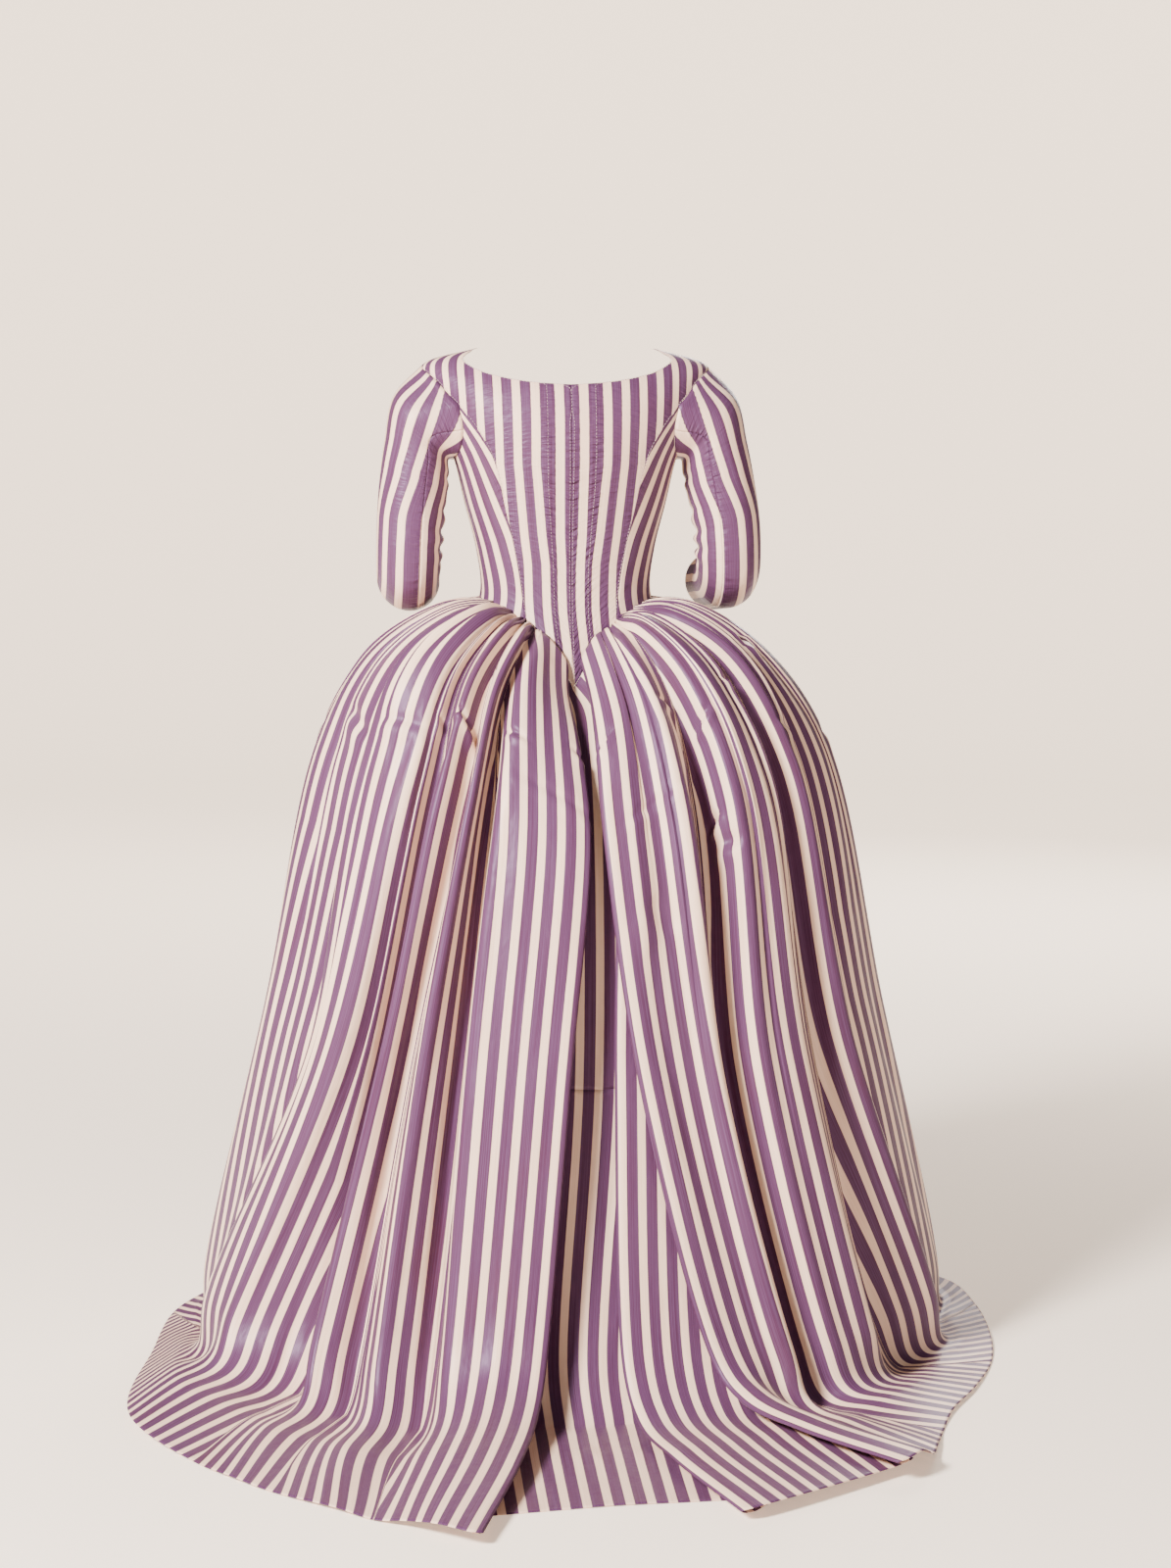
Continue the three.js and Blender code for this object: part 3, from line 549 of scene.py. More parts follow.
skirt_across = measure_across(skirt)
skirt_down = along(skirt, 1)
print("the skirt's silk is", round(float(skirt_across[-1, 0] - skirt_across[0, 0]) / 1000, 2), "m wide")

# %% [markdown]
# ## Relief of the skirt
# A knife pleat is like a shingle: the side that lies on top stands proud at the fold edge and sinks back
# over its own face, and the cloth under it starts a little lower. It fades out downward, where the
# pleat opens.
# Where the waist seam turns up beside the back point, the silk is drawn into fine gathers, `count`
# small ridges from one fold line to another, which end at station `down`.
# The skirt was also kept folded, so short kinks cross the pleats. Each has its half length and half
# width in millimetres and its slant in degrees.
# Along the main folds and between them the silk has soft long ridges (`deep` above 0) and troughs from
# one station to another, some of which sway sideways.

# %% Gathers
GATHERS = table(
    "start end count deep down",
    ("pinch_valley_l", "flap_shoulder_l", 12, 7.5, 1.1),
    ("side_face_l", "pinch_valley_l", 10, 4.0, 0.9),
    ("flap_ridge_r", "low_valley_r", 9, 6.0, 0.9),
    ("low_valley_r", "side_face_r", 10, 3.4, 0.8),
)


# %% Kinks across the pleats
KINKS = table(
    "line part row long wide deep slant",
    ("deep_valley_l", 0.45, 1.65, 16, 5, 4.0, -6),
    ("pinch_ridge_l", 0.20, 2.36, 24, 4, 5.0, 4),
    ("pinch_ridge_l", 0.95, 2.50, 12, 6, 6.0, 40),
    ("flap_shoulder_l", 0.10, 2.30, 16, 4, 4.5, 6),
    ("corner_ridge_l", 0.50, 2.45, 30, 6, 2.5, 12),
    ("round_ridge_l", 0.60, 2.60, 38, 7, 2.6, -14),
    ("side_face_l", 0.50, 2.70, 30, 9, 5.0, 18),
    ("flap_face_l", 0.20, 2.70, 50, 6, 1.5, 3),
    ("flap_edge_l", -0.40, 2.20, 18, 5, 2.2, -4),
    ("flap_edge_r", 1.30, 2.14, 14, 4, 4.0, -3),
    ("flap_face_r", 0.60, 2.90, 44, 6, 2.0, -8),
    ("flap_ridge_r", 0.50, 2.10, 16, 4, 4.5, 14),
    ("knot_valley_r", 0.70, 2.43, 18, 5, 5.5, -16),
    ("knot_valley_r", 0.30, 3.10, 14, 6, 8.0, -35),
    ("knot_valley_r", 0.70, 3.20, 16, 7, 6.5, 40),
    ("flap_face_r", 0.60, 3.40, 26, 16, 4.5, 70),
    ("round_face_r", 0.40, 2.20, 26, 5, 3.0, 20),
    ("low_ridge_r", 0.40, 2.75, 48, 7, 2.6, 12),
    ("panel_valley_r", 0.45, 1.80, 22, 7, 4.0, -30),
    ("side_face_r", 0.30, 2.90, 50, 8, 2.6, -8),
    ("recess_face", 0.30, 5.95, 16, 5, 3.0, 12),
    ("recess_face", -0.30, 6.30, 22, 7, 2.5, -10),
    ("front_ridge_l", 0.50, 3.20, 52, 8, 2.4, -9),
    ("front_ridge_r", 0.40, 3.30, 56, 8, 2.4, 7),
    ("side_ridge_l", 0.40, 2.80, 44, 8, 2.6, 11),
)


# %% Soft long folds, and the relief of all of them
SOFT_FOLDS = table(
    "line part rows wide deep sway",
    ("flap_valley_l", 0, (2.0, 6.6), 12, -12, 0),
    ("deep_valley_l", 0, (2.2, 6.8), 11, -12, 0),
    ("pinch_valley_l", 0, (2.4, 6.9), 14, -14, 0),
    ("panel_valley_l", 0, (2.1, 6.4), 16, -12, 0),
    ("knot_valley_r", 0, (1.9, 6.3), 12, -12, 0),
    ("low_valley_r", 0, (2.0, 6.5), 14, -13, 0),
    ("panel_valley_r", 0, (2.3, 6.2), 15, -12, 0),
    ("corner_ridge_l", 0, (2.6, 6.6), 14, 7, 0),
    ("pinch_ridge_l", 0, (2.4, 6.7), 8, 6, 0),
    ("narrow_ridge_l", 0, (2.3, 6.4), 8, 6, 0),
    ("flap_shoulder_l", 0, (2.2, 6.0), 14, 5, 0),
    ("flap_ridge_r", 0, (2.1, 5.8), 12, 6, 0),
    ("knot_ridge_r", 0, (2.0, 6.1), 12, 6, 0),
    ("round_face_r", 0, (2.2, 6.4), 14, 5, 0),
    ("low_ridge_r", 0, (2.4, 6.2), 12, 7, 0),
    ("front_edge_l", 0.50, (2.2, 4.6), 20, 4, 8),
    ("front_ridge_l", 0.50, (3.2, 5.6), 24, -5, -9),
    ("front_valley_l", 0.45, (2.4, 4.2), 18, 5, 6),
    ("side_ridge_l", 0.35, (3.3, 5.4), 26, -5, 10),
    ("side_ridge_l", 0.80, (2.2, 3.9), 20, 5, -7),
    ("side_face_l", 0.40, (2.5, 4.4), 22, -6, 8),
    ("side_face_l", 0.75, (3.6, 5.5), 18, 5, -5),
    ("panel_valley_l", 0.50, (2.9, 4.3), 14, 5, 5),
    ("round_ridge_l", 0.30, (2.3, 3.7), 16, -5, -7),
    ("round_ridge_l", 0.62, (3.2, 5.2), 18, 5, 9),
    ("round_ridge_l", 0.85, (2.2, 3.4), 12, -4, 4),
    ("round_ridge_l", 0.45, (4.4, 7.2), 26, -6, 14),
    ("corner_ridge_l", 0.35, (2.4, 3.6), 12, 4, -5),
    ("corner_ridge_l", 0.60, (4.3, 6.8), 16, -5, 8),
    ("pinch_valley_l", 0.55, (2.6, 3.9), 9, 4, 3),
    ("pinch_ridge_l", 0.50, (3.6, 6.5), 12, 4, -6),
    ("narrow_ridge_l", 0.50, (2.4, 3.6), 9, -4, 4),
    ("flap_shoulder_l", 0.30, (2.7, 4.0), 12, -4, -5),
    ("flap_face_l", -0.20, (4.2, 6.4), 16, 4, 6),
    ("flap_face_l", 0.45, (2.3, 3.9), 14, 3, 6),
    ("flap_face_l", 0.70, (3.5, 5.0), 12, -3, -5),
    ("recess_face", 0.40, (3.4, 5.2), 10, 3, 4),
    ("recess_face", -0.40, (4.1, 5.9), 12, -3, -4),
    ("flap_edge_r", 1.45, (2.3, 3.8), 10, -3, 4),
    ("flap_face_r", 0.35, (3.2, 4.7), 16, -5, -7),
    ("flap_dip_r", 0.45, (2.6, 3.6), 12, 4, 5),
    ("flap_dip_r", 0.60, (4.0, 6.4), 16, 5, 9),
    ("flap_ridge_r", 0.55, (2.2, 3.1), 10, 4, -3),
    ("knot_ridge_r", 0.50, (2.4, 4.2), 14, -5, 5),
    ("knot_ridge_r", 0.80, (3.6, 5.6), 16, 5, -6),
    ("round_face_r", 0.40, (2.3, 3.7), 14, 5, 5),
    ("round_face_r", 0.60, (4.1, 6.2), 18, -5, 10),
    ("low_valley_r", 0.50, (2.8, 4.3), 12, 4, -4),
    ("low_ridge_r", 0.45, (2.3, 3.9), 20, -6, 9),
    ("low_ridge_r", 0.70, (3.9, 6.2), 24, 5, -12),
    ("panel_valley_r", 0.45, (2.3, 4.0), 20, 5, 7),
    ("panel_valley_r", 0.75, (3.4, 5.4), 18, -5, -7),
    ("side_face_r", 0.40, (2.5, 4.6), 24, -5, 9),
    ("side_face_r", 0.80, (3.7, 5.7), 20, 5, -6),
    ("side_ridge_r", 0.50, (2.5, 4.3), 22, 5, 8),
    ("front_valley_r", 0.50, (3.1, 5.5), 24, -5, -8),
    ("front_ridge_r", 0.45, (2.3, 4.5), 20, 4, 7),
)


PLEAT_FADE = 1.6  # stations over which a pleat fades out
ON_TOP, UNDER_IT = (1.0, 0.9), (-0.4, 0.3)  # share of a pleat's depth, and reach over the face


def pleat_relief(run):
    relief = np.zeros(run.shape)
    edges = sorted([0, *SINKS_AT, *[c for c, _ in PLEATS_AT], len(run) - 1])
    for at, one in PLEATS_AT:
        k = edges.index(at)
        fade = ease((one["down"] - ROW_AT) / PLEAT_FADE) * ease(0.35 + ROW_AT / 0.8)
        over, under = (np.arange(edges[k - 1], at + 1), np.arange(at + 1, edges[k + 1]))
        if one["over"] < 0:
            over, under = under, over
        for columns, share, reach in ((over, *ON_TOP), (under, *UNDER_IT)):
            s = np.abs(run[columns] - run[at])
            whole = np.maximum(s.max(axis=0), 1e-6)
            relief[columns] += share * one["deep"] * (1 - ease(s / whole / reach)) * fade
    return relief


def gather_relief(run):
    relief = np.zeros(run.shape)
    for row in GATHERS:
        a, b = START[row["start"]], START[row["end"]]
        share = (run[a:b + 1] - run[a]) / (run[b] - run[a])
        wave = np.abs(np.sin(math.pi * row["count"] * (share + 0.06 * np.sin(9 * share))))
        rise = ease(share * 6) * ease((1 - share) * 6)
        relief[a:b + 1] += row["deep"] * (wave - 0.25) * rise * ease(1 - ROW_AT / row["down"])
    return relief


def kink_relief(across, down):
    relief = np.zeros(across.shape)
    for row in KINKS:
        i = column_at(place_of(row))
        j = int(np.searchsorted(ROW_AT, row["row"]))
        u, v = across - across[i, j], down - down[i, j]
        c, s = math.cos(math.radians(row["slant"])), math.sin(math.radians(row["slant"]))
        along_it, over_it = (u * c + v * s) / row["long"], (v * c - u * s) / row["wide"]
        trough = np.exp(-over_it ** 2)
        bank = np.exp(-((over_it - 2) / 1.6) ** 2)
        relief += row["deep"] * (0.6 * bank - trough) * np.exp(-along_it ** 4)
    return relief


def soft_relief(run):
    relief = np.zeros(run.shape)
    for row in SOFT_FOLDS:
        i = column_at(place_of(row))
        first, last = row["rows"]
        share = np.clip((ROW_AT - first) / (last - first), 0, 1)
        middle = run[i] + row["sway"] * np.sin(math.pi * 1.5 * share)
        rise = ease(share / 0.4) * ease((1 - share) / 0.45)
        relief += row["deep"] * rise * np.exp(-((run - middle) / row["wide"]) ** 2)
    return relief


def dress_skirt(net):
    run = along(net, 0)
    relief = pleat_relief(run) + gather_relief(run) + soft_relief(run)
    relief += kink_relief(skirt_across, skirt_down)
    out = net + net_normals(net) * relief[..., None]
    out[..., 2] = np.maximum(out[..., 2], REST)
    return out


skirt = dress_skirt(skirt)
print("small folds:", len(KNIFE_PLEATS), "pleats,", len(KINKS), "kinks,", len(SOFT_FOLDS), "soft folds")

# %% [markdown]
# ## Making a silk piece
# One function turns any net into a mesh that takes a CAD solid's place. It stores two maps. `cloth`
# has, for each point, its place across and down the cut silk in metres, which the stripes read, and
# how strongly the sewing puckers it. The square map named OFBake is for anything that bakes the
# finish. A very thin Solidify gives the silk two faces and a cut edge.
# Each piece's width and length laid flat, and its area, are worked out but not kept. The area is that
# of the cloth that shows, because what the waist gathers in is folded away behind it.

# %% Silk piece
REPEAT = 24.5  # width of one mauve and one cream stripe
MAUVE = 14.3
SILK_THICK = 0.0005
SILK = {}


def flat_size(net):
    across, down = np.diff(net, axis=0)[:, :-1], np.diff(net, axis=1)[:-1]
    area = np.linalg.norm(np.cross(across, down), axis=2).sum()
    wide, long = along(net, 0)[-1].max(), along(net, 1)[:, -1].max()
    return {"flat": (float(wide) / 1000, float(long) / 1000), "area": float(area) / 1e6}


def silk_piece(node, net, across, down, pucker):
    """Dress one CAD node in silk."""
    columns, rows = net.shape[:2]
    points = net.reshape(-1, 3) / 1000 + (0, 0, FLOOR)
    i, j = np.meshgrid(np.arange(columns - 1), np.arange(rows - 1), indexing="ij")
    a = (i * rows + j).ravel()
    faces = np.stack([a, a + 1, a + rows + 1, a + rows], 1)
    piece = add_mesh(node + "_silk", points.tolist(), faces.tolist())
    mesh = piece.data
    mesh.polygons.foreach_set("use_smooth", np.ones(len(faces), bool))
    down = down.mean(axis=0, keepdims=True) + np.zeros(across.shape)
    cloth = np.stack([across / 1000, down / 1000, pucker], -1).reshape(-1, 3)
    mesh.attributes.new("cloth", "FLOAT_VECTOR", "POINT").data.foreach_set("vector", cloth.ravel())
    square = np.stack(np.meshgrid(
        np.linspace(0.01, 0.99, columns), np.linspace(0.99, 0.01, rows), indexing="ij"
    ), -1).reshape(-1, 2)
    layer = mesh.uv_layers.new(name="OFBake")
    layer.data.foreach_set("uv", square[faces.ravel()].ravel())
    thick = piece.modifiers.new("silk", "SOLIDIFY")
    thick.thickness = SILK_THICK
    thick.offset = 0
    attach(piece, "root")
    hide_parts(node)
    SILK[node] = piece
    flat_size(net)


# %% [markdown]
# ## The skirt panels
# The net is cut into the maker's panels at the bottoms of valleys and at the hidden turns of the box
# pleat, where a seam doesn't show. The centre panel is pieced across, as narrow silks often were.

# %% Skirt panels
PANELS = table(
    "name start",
    ("skirt_front_left", "front_edge_l"),
    ("skirt_side_left", "panel_valley_l"),
    ("skirt_back_left", "flap_valley_l"),
    ("skirt_centre", "hidden_turn_l"),
    ("skirt_back_right", "hidden_turn_r"),
    ("skirt_side_right", "knot_valley_r"),
    ("skirt_front_right", "low_valley_r"),
)
PIECED_ROW = int(np.argmin(np.abs(ROW_AT - 4)))  # the centre panel is pieced at the knee


def cut_panel(name, first, last, top, bottom):
    part = (slice(first, last + 1), slice(top, bottom + 1))
    plain = np.zeros(skirt_across[part].shape)
    silk_piece(name, skirt[part], skirt_across[part], skirt_down[part], plain)


for k, panel in enumerate(PANELS):
    first = START[panel["start"]]
    last = START[PANELS[k + 1]["start"]] if k + 1 < len(PANELS) else len(skirt) - 1
    bottom = len(ROW_AT) - 1
    if panel["name"] == "skirt_centre":
        cut_panel("skirt_centre_upper", first, last, 0, PIECED_ROW)
        cut_panel("skirt_centre_lower", first, last, PIECED_ROW, bottom)
    else:
        cut_panel(panel["name"], first, last, 0, bottom)

# %% [markdown]
# ## The bodice
# Six pieces are cut to fit: two at the centre back that run down into the point, a curved pair beside
# them, and two fronts. Each piece is blended from its four edges, drawn as angle and height on the
# figure, where a height of 0 is the waist seam. `near` is its edge on the centre's side, in one part
# or two, and `rim` a curved top edge.

# %% Bodice edges
CENTRE_BACK = [[0, 0], [0, 940], [0, 1010], [0, 1080], [0, 1150], [0, 1215], [0, 1262]]
BACK_NECK = [[0, 1262], [16, 1266], [32, 1276], [44, 1290], [60, 1304], [90, 1311]]
SIDE_BACK_SEAM = [[27, 0], [33, 1000], [36, 1050], [38, 1100], [40, 1150], [45, 1198], [54, 1236]]
SIDE_SEAM = [[84, 0], [88, 1010], [90, 1050], [91, 1090], [92, 1125], [94, 1166]]
CENTRE_FRONT = [[180, 0], [180, 1000], [180, 1050], [180, 1100], [180, 1140], [180, 1172]]
FRONT_NECK = [
    [180, 1172], [169, 1175], [157, 1187], [149, 1213], [144, 1246], [137, 1278], [118, 1302],
    [90, 1311],
]
ARMHOLE_BACK = [[54, 1236], [60, 1252], [70, 1274], [90, 1290]]
ARMHOLE_UNDER = [[54, 1236], [57, 1204], [70, 1176], [94, 1166]]
ARMHOLE_FRONT = [[94, 1166], [112, 1180], [120, 1214], [112, 1262], [90, 1290]]
BODICE = table(
    "name near far rim across",
    ("bodice_back", [CENTRE_BACK, BACK_NECK], [SIDE_BACK_SEAM, ARMHOLE_BACK], None, 60),
    ("bodice_side_back", [SIDE_BACK_SEAM], [SIDE_SEAM], ARMHOLE_UNDER, 34),
    ("bodice_front", [CENTRE_FRONT, FRONT_NECK], [SIDE_SEAM, ARMHOLE_FRONT], None, 48),
)
SIDES = {1: "left", -1: "right"}
SEAM_STEPS = 117  # rows along a seam
EDGE_STEPS = 42  # rows along the neck or the armhole above it
OVERLAP = 2.5  # the bodice's silk reaches this far down over the skirt's raw edge


def edge_curve(points):
    marks = [[a, z or float(waist_height(a)[0]) - OVERLAP] for a, z in points]
    path = curve(marks)
    return lambda t: path(np.asarray(t) * (len(marks) - 1))


def side_rows(parts):
    rows = edge_curve(parts[0])(np.linspace(0, 1, SEAM_STEPS + 1))
    if len(parts) > 1:
        more = edge_curve(parts[1])(np.linspace(0, 1, EDGE_STEPS + 1))[1:]
        rows = np.concatenate([rows, more])
    return rows


def piece_places(piece):
    near, far = side_rows(piece["near"]), side_rows(piece["far"])
    s = np.linspace(0, 1, piece["across"] + 1)[:, None, None]
    t = np.linspace(0, 1, len(near))[None, :, None]
    sides = near[None] * (1 - s) + far[None] * s
    low = near[0] * (1 - s[:, 0]) + far[0] * s[:, 0]
    bottom = np.stack([low[:, 0], waist_height(low[:, 0]) - OVERLAP], 1)[:, None]
    high = near[-1] * (1 - s[:, 0]) + far[-1] * s[:, 0]
    top = (edge_curve(piece["rim"])(s[:, 0, 0]) if piece["rim"] else high)[:, None]
    places = sides + bottom * (1 - t) + top * t - (low[:, None] * (1 - t) + high[:, None] * t)
    places[..., 0] = np.clip(places[..., 0], 0, 180)
    return places[:, ::-1]


# %% [markdown]
# On the centre back the stripes come closer towards the point, because the maker stitched tucks down
# the mauve stripes and hid some cloth in them. The table gives each stripe's width as it shows, from
# the centre outward. The side backs are cut so that their stripes follow the side seam and run out
# at the curved seam. The fronts have theirs upright at the centre.

# %% Bodice stripes
STRIPE_EDGES = np.cumsum([0, MAUVE / 2, *[REPEAT - MAUVE, MAUVE] * 6])
BACK_STRIPES = table(
    "z seen",
    (878, [5.5, 10.8, 8.8, 10.2, 12.0, 10.4, 12.5, 11]),
    (980, [6.0, 11.3, 9.2, 10.6, 12.5, 10.6, 13.5, 11]),
    (1030, [6.5, 11.4, 9.5, 10.8, 12.7, 10.6, 13.5, 11]),
    (1070, [8.6, 11.4, 12.5, 11.0, 12.3, 11.0, 13.5, 11]),
    (1160, [10.0, 11.5, 19.5, 11.2, 12.5, 11.0, 13.5, 11]),
    (1262, [10.0, 11.5, 20.0, 11.2, 13.5, 11.0, 13.5, 11]),
)
POINT_SHIFT = 7  # how far the middle stripe strays to the wearer's right at the point
POINT_FROM, POINT_OVER = 985, 107  # height where it starts to stray, and over what height
TUCKED = 1  # the mauve stripe, counted from the centre, that has a stitched tuck


def seen_edges(z):
    heights = column(BACK_STRIPES, "z")
    widths = np.array([row["seen"] for row in BACK_STRIPES])
    seen = [np.interp(z, heights, widths[:, k]) for k in range(widths.shape[1])]
    return np.concatenate([[0], np.cumsum(seen)])


def back_measure(run, z, side):
    """Place across the silk of the centre back, and the distance from its tuck and seams."""
    from_middle = run + side * POINT_SHIFT * ease((POINT_FROM - z) / POINT_OVER)
    across, to_tuck, to_line = (np.zeros(run.shape) for _ in range(3))
    for i, j in np.ndindex(run.shape):
        edges = seen_edges(z[i, j])
        place = abs(from_middle[i, j])
        rest = max(place - edges[-1], 0)
        across[i, j] = np.interp(place, edges, STRIPE_EDGES[:len(edges)]) + rest
        tuck = (edges[2 * TUCKED] + edges[2 * TUCKED + 1]) / 2
        to_tuck[i, j] = min(abs(place - tuck), place)
        to_line[i, j] = place - tuck
    return across * np.sign(from_middle), to_tuck, to_line


GIRTH_ANGLES = np.linspace(0, 180, 361)
GIRTH_STEP = 4.0
GIRTH_HEIGHTS = np.arange(856, 1320, GIRTH_STEP)
GIRTHS = along(body_point(GIRTH_ANGLES[:, None], GIRTH_HEIGHTS[None]), 0)
UPRIGHT_FROM = 1215  # above this height the stripes keep straight up over the shoulder


def girth(angle, z):
    """Distance round the figure from the centre back, at one height."""
    a = np.clip(angle * 2, 0, len(GIRTH_ANGLES) - 1.001)
    h = (z - GIRTH_HEIGHTS[0]) / GIRTH_STEP
    i, j = a.astype(int), h.astype(int)
    fa, fh = a - i, h - j
    low = GIRTHS[i, j] * (1 - fa) + GIRTHS[i + 1, j] * fa
    high = GIRTHS[i, j + 1] * (1 - fa) + GIRTHS[i + 1, j + 1] * fa
    return low * (1 - fh) + high * fh


def upright(places, from_front):
    """Place across a back or front whose stripes stay upright, from its centre line."""
    angle, z = places[..., 0], places[..., 1]
    level = np.minimum(z, UPRIGHT_FROM)
    measure = girth(angle, level)
    if from_front:
        measure = girth(np.full_like(z, 180), level) - measure
    return measure + body_point(angle, z)[..., 0] - body_point(angle, level)[..., 0]


# %% [markdown]
# The silk is puckered a little everywhere, and more along its two edges or, on the centre back, along
# its tuck and its far edge. The table has the reach in millimetres and the strength of each.
# Where the centre back is sewn, a line of stitches follows the net's points nearest to the line.

# %% Bodice pieces
PUCKERS = table(
    "kind plain near far",
    ("bodice", 0.1, (10, 0.55), (10, 0.4)),
    ("bodice_back", 0.3, (9, 0.9), (10, 0.4)),
    ("sleeve", 0.12, (9, 0.5), (9, 0.5)),
)
PUCKER_LOW, PUCKER_FADE = 1100, 200  # height where the back's puckers start to fade, and over what
STITCH_LINES = []  # points and outward normals of each line of stitches
STITCH_LIFT = 0.45
CENTRE_AWAY = 1.6  # from the centre back seam to its stitches


def puckered(kind, to_near, to_far):
    row = next(row for row in PUCKERS if row["kind"] == kind)
    strength = row["plain"]
    for distance, (reach, most) in ((to_near, row["near"]), (to_far, row["far"])):
        strength = strength + most * np.exp(-(distance / reach) ** 2)
    return strength


def stitch_line(net, to_line):
    nearest = np.abs(to_line).argmin(axis=0)
    rows = np.arange(net.shape[1])
    out = net_normals(net)
    out *= np.sign((out[..., :2] * net[..., :2]).sum(axis=-1, keepdims=True))
    out = out[nearest, rows]
    path = net[nearest, rows] + out * STITCH_LIFT
    padded = np.concatenate([path[:1]] * 3 + [path] + [path[-1:]] * 3)
    smooth = np.mean([padded[k:k + len(path)] for k in range(7)], axis=0)
    STITCH_LINES.append((smooth, out))


def bodice_piece(piece, side):
    places = piece_places(piece)
    net = body_point(places[..., 0] * side, places[..., 1])
    run = along(net, 0)
    across = run - run[-1] if piece["name"] == "bodice_side_back" else upright(places, True)
    pucker = puckered("bodice", run, run[-1] - run)
    if piece["name"] == "bodice_back":
        across, to_tuck, to_tuck_line = back_measure(upright(places, False), places[..., 1], side)
        pucker = puckered("bodice_back", to_tuck, run[-1] - run)
        pucker *= ease(1.25 - (places[..., 1] - PUCKER_LOW) / PUCKER_FADE)
        for to_line in (run - CENTRE_AWAY, to_tuck_line, run - run[-1] + CENTRE_AWAY):
            stitch_line(net, to_line)
    if (side > 0) != (piece["name"] == "bodice_front"):
        net, across, pucker = net[::-1], across[::-1], pucker[::-1]
    node = f"{piece['name']}_{SIDES[side]}"
    silk_piece(node, net, across, along(net, 1), pucker)


for side in SIDES:
    for piece in BODICE:
        bodice_piece(piece, side)
print("bodice pieces:", [name for name in SILK if name.startswith("bodice")])

# %% [markdown]
# ## The sleeves
# Each sleeve is cut in two, with one seam down the back of the arm and one inside the bend, and is
# bent at the elbow. Rings along the arm give its shape, and its head follows the armhole. Two mauve
# stripes meet near the back seam and look like one wide stripe. The stripes run straight over the
# sleeve's head, where the armhole seam cuts them off. The silk creases inside the bend.

# %% Sleeve tables
ARM = table(
    "x y z wide deep lean tilt",
    (190, 1, 1207, 55, 57, 50, 0),
    (196, 3, 1168, 47, 55, 26, 0),
    (201, 8, 1128, 45, 52, 12, 0),
    (205, 14, 1084, 44, 49, 8, 2),
    (207, 18, 1050, 43, 48, 4, 10),
    (208, 13, 1026, 42, 49, 0, 34),
    (208, -8, 1012, 41, 45, 0, 62),
    (206, -42, 1006, 40, 40, 0, 80),
    (203, -84, 1002, 40, 39, 0, 86),
)
ARM_OUT = {1: 0, -1: 8}  # how far the wearer's left and right arms are held out more
HEAD_GAP = 0.6  # from the bodice's armhole to the sleeve's head
ARM_STEPS = 120  # steps round the arm, from its outer side over the back
BACK_SEAM = 36
FRONT_SEAM = 96
ARM_ROWS = np.concatenate([np.linspace(0, 3, 30)[:-1], np.linspace(3, 9, 75)])
SLEEVE_WIDE = 300  # more than the silk of any sleeve is wide
SEAM_SEEN = 10.5  # width of each of the two mauve stripes at the back seam
SEAM_DRIFT, DRIFT_OVER = 12, 1.5  # how far that wide stripe drifts outward, and over how many rings
HEAD_ROW = int(np.searchsorted(ARM_ROWS, 2.4))  # the sleeve's head ends here
HEAD_LEAN = math.radians(18)
# ring: where a crease lies along the arm; around: its middle in steps round the arm
ELBOW_CREASES = table(
    "ring around half wide deep",
    (3.55, 66, 15, 0.14, 3.0),
    (4.25, 70, 19, 0.17, 5.0),
    (4.95, 74, 21, 0.20, 5.5),
    (5.70, 80, 18, 0.20, 4.0),
    (2.30, 62, 12, 0.16, 2.2),
)


# %% Sleeves
def arm_ring(ring, k, side):
    out = min(k / 3, 1) * ARM_OUT[side]
    bend = np.arange(ARM_STEPS) / ARM_STEPS * 2 * math.pi
    over, back = np.cos(bend) * ring["wide"], np.sin(bend) * ring["deep"]
    lean, tilt = math.radians(ring["lean"]), math.radians(ring["tilt"])
    x = side * (ring["x"] + out + over * math.cos(lean))
    y = ring["y"] + back * math.cos(tilt)
    z = ring["z"] - back * math.sin(tilt) + over * math.sin(lean)
    return np.stack([x, y, z], 1)


def armhole_ring(side):
    parts = [(ARMHOLE_BACK[::-1], 24), (ARMHOLE_UNDER, 36), (ARMHOLE_FRONT, 60)]
    marks = np.concatenate([edge_curve(e)(np.arange(n) / n) for e, n in parts])
    return body_point(marks[:, 0] * side, marks[:, 1]) + (side * HEAD_GAP, 0, 0)


def elbow_relief():
    around = np.arange(ARM_STEPS)[:, None]
    relief = np.zeros((ARM_STEPS, len(ARM_ROWS)))
    for row in ELBOW_CREASES:
        off = (around - row["around"]) / row["half"]
        x = (ARM_ROWS[None] - row["ring"] - 0.12 * off) / row["wide"]
        bank_and_trough = 0.55 * np.exp(-(x - 1.9) ** 2) - np.exp(-x ** 2)
        relief += row["deep"] * np.exp(-off ** 2) * bank_and_trough
    return relief


def sleeve_measure(from_seam):
    """Place across the silk from the signed distance to the wide stripe's middle."""
    seen = np.array([0, SEAM_SEEN, SEAM_SEEN + SLEEVE_WIDE])
    cloth = np.array([0, MAUVE / 2, MAUVE / 2 + SLEEVE_WIDE])
    return np.interp(np.abs(from_seam), seen, cloth) * np.sign(from_seam)


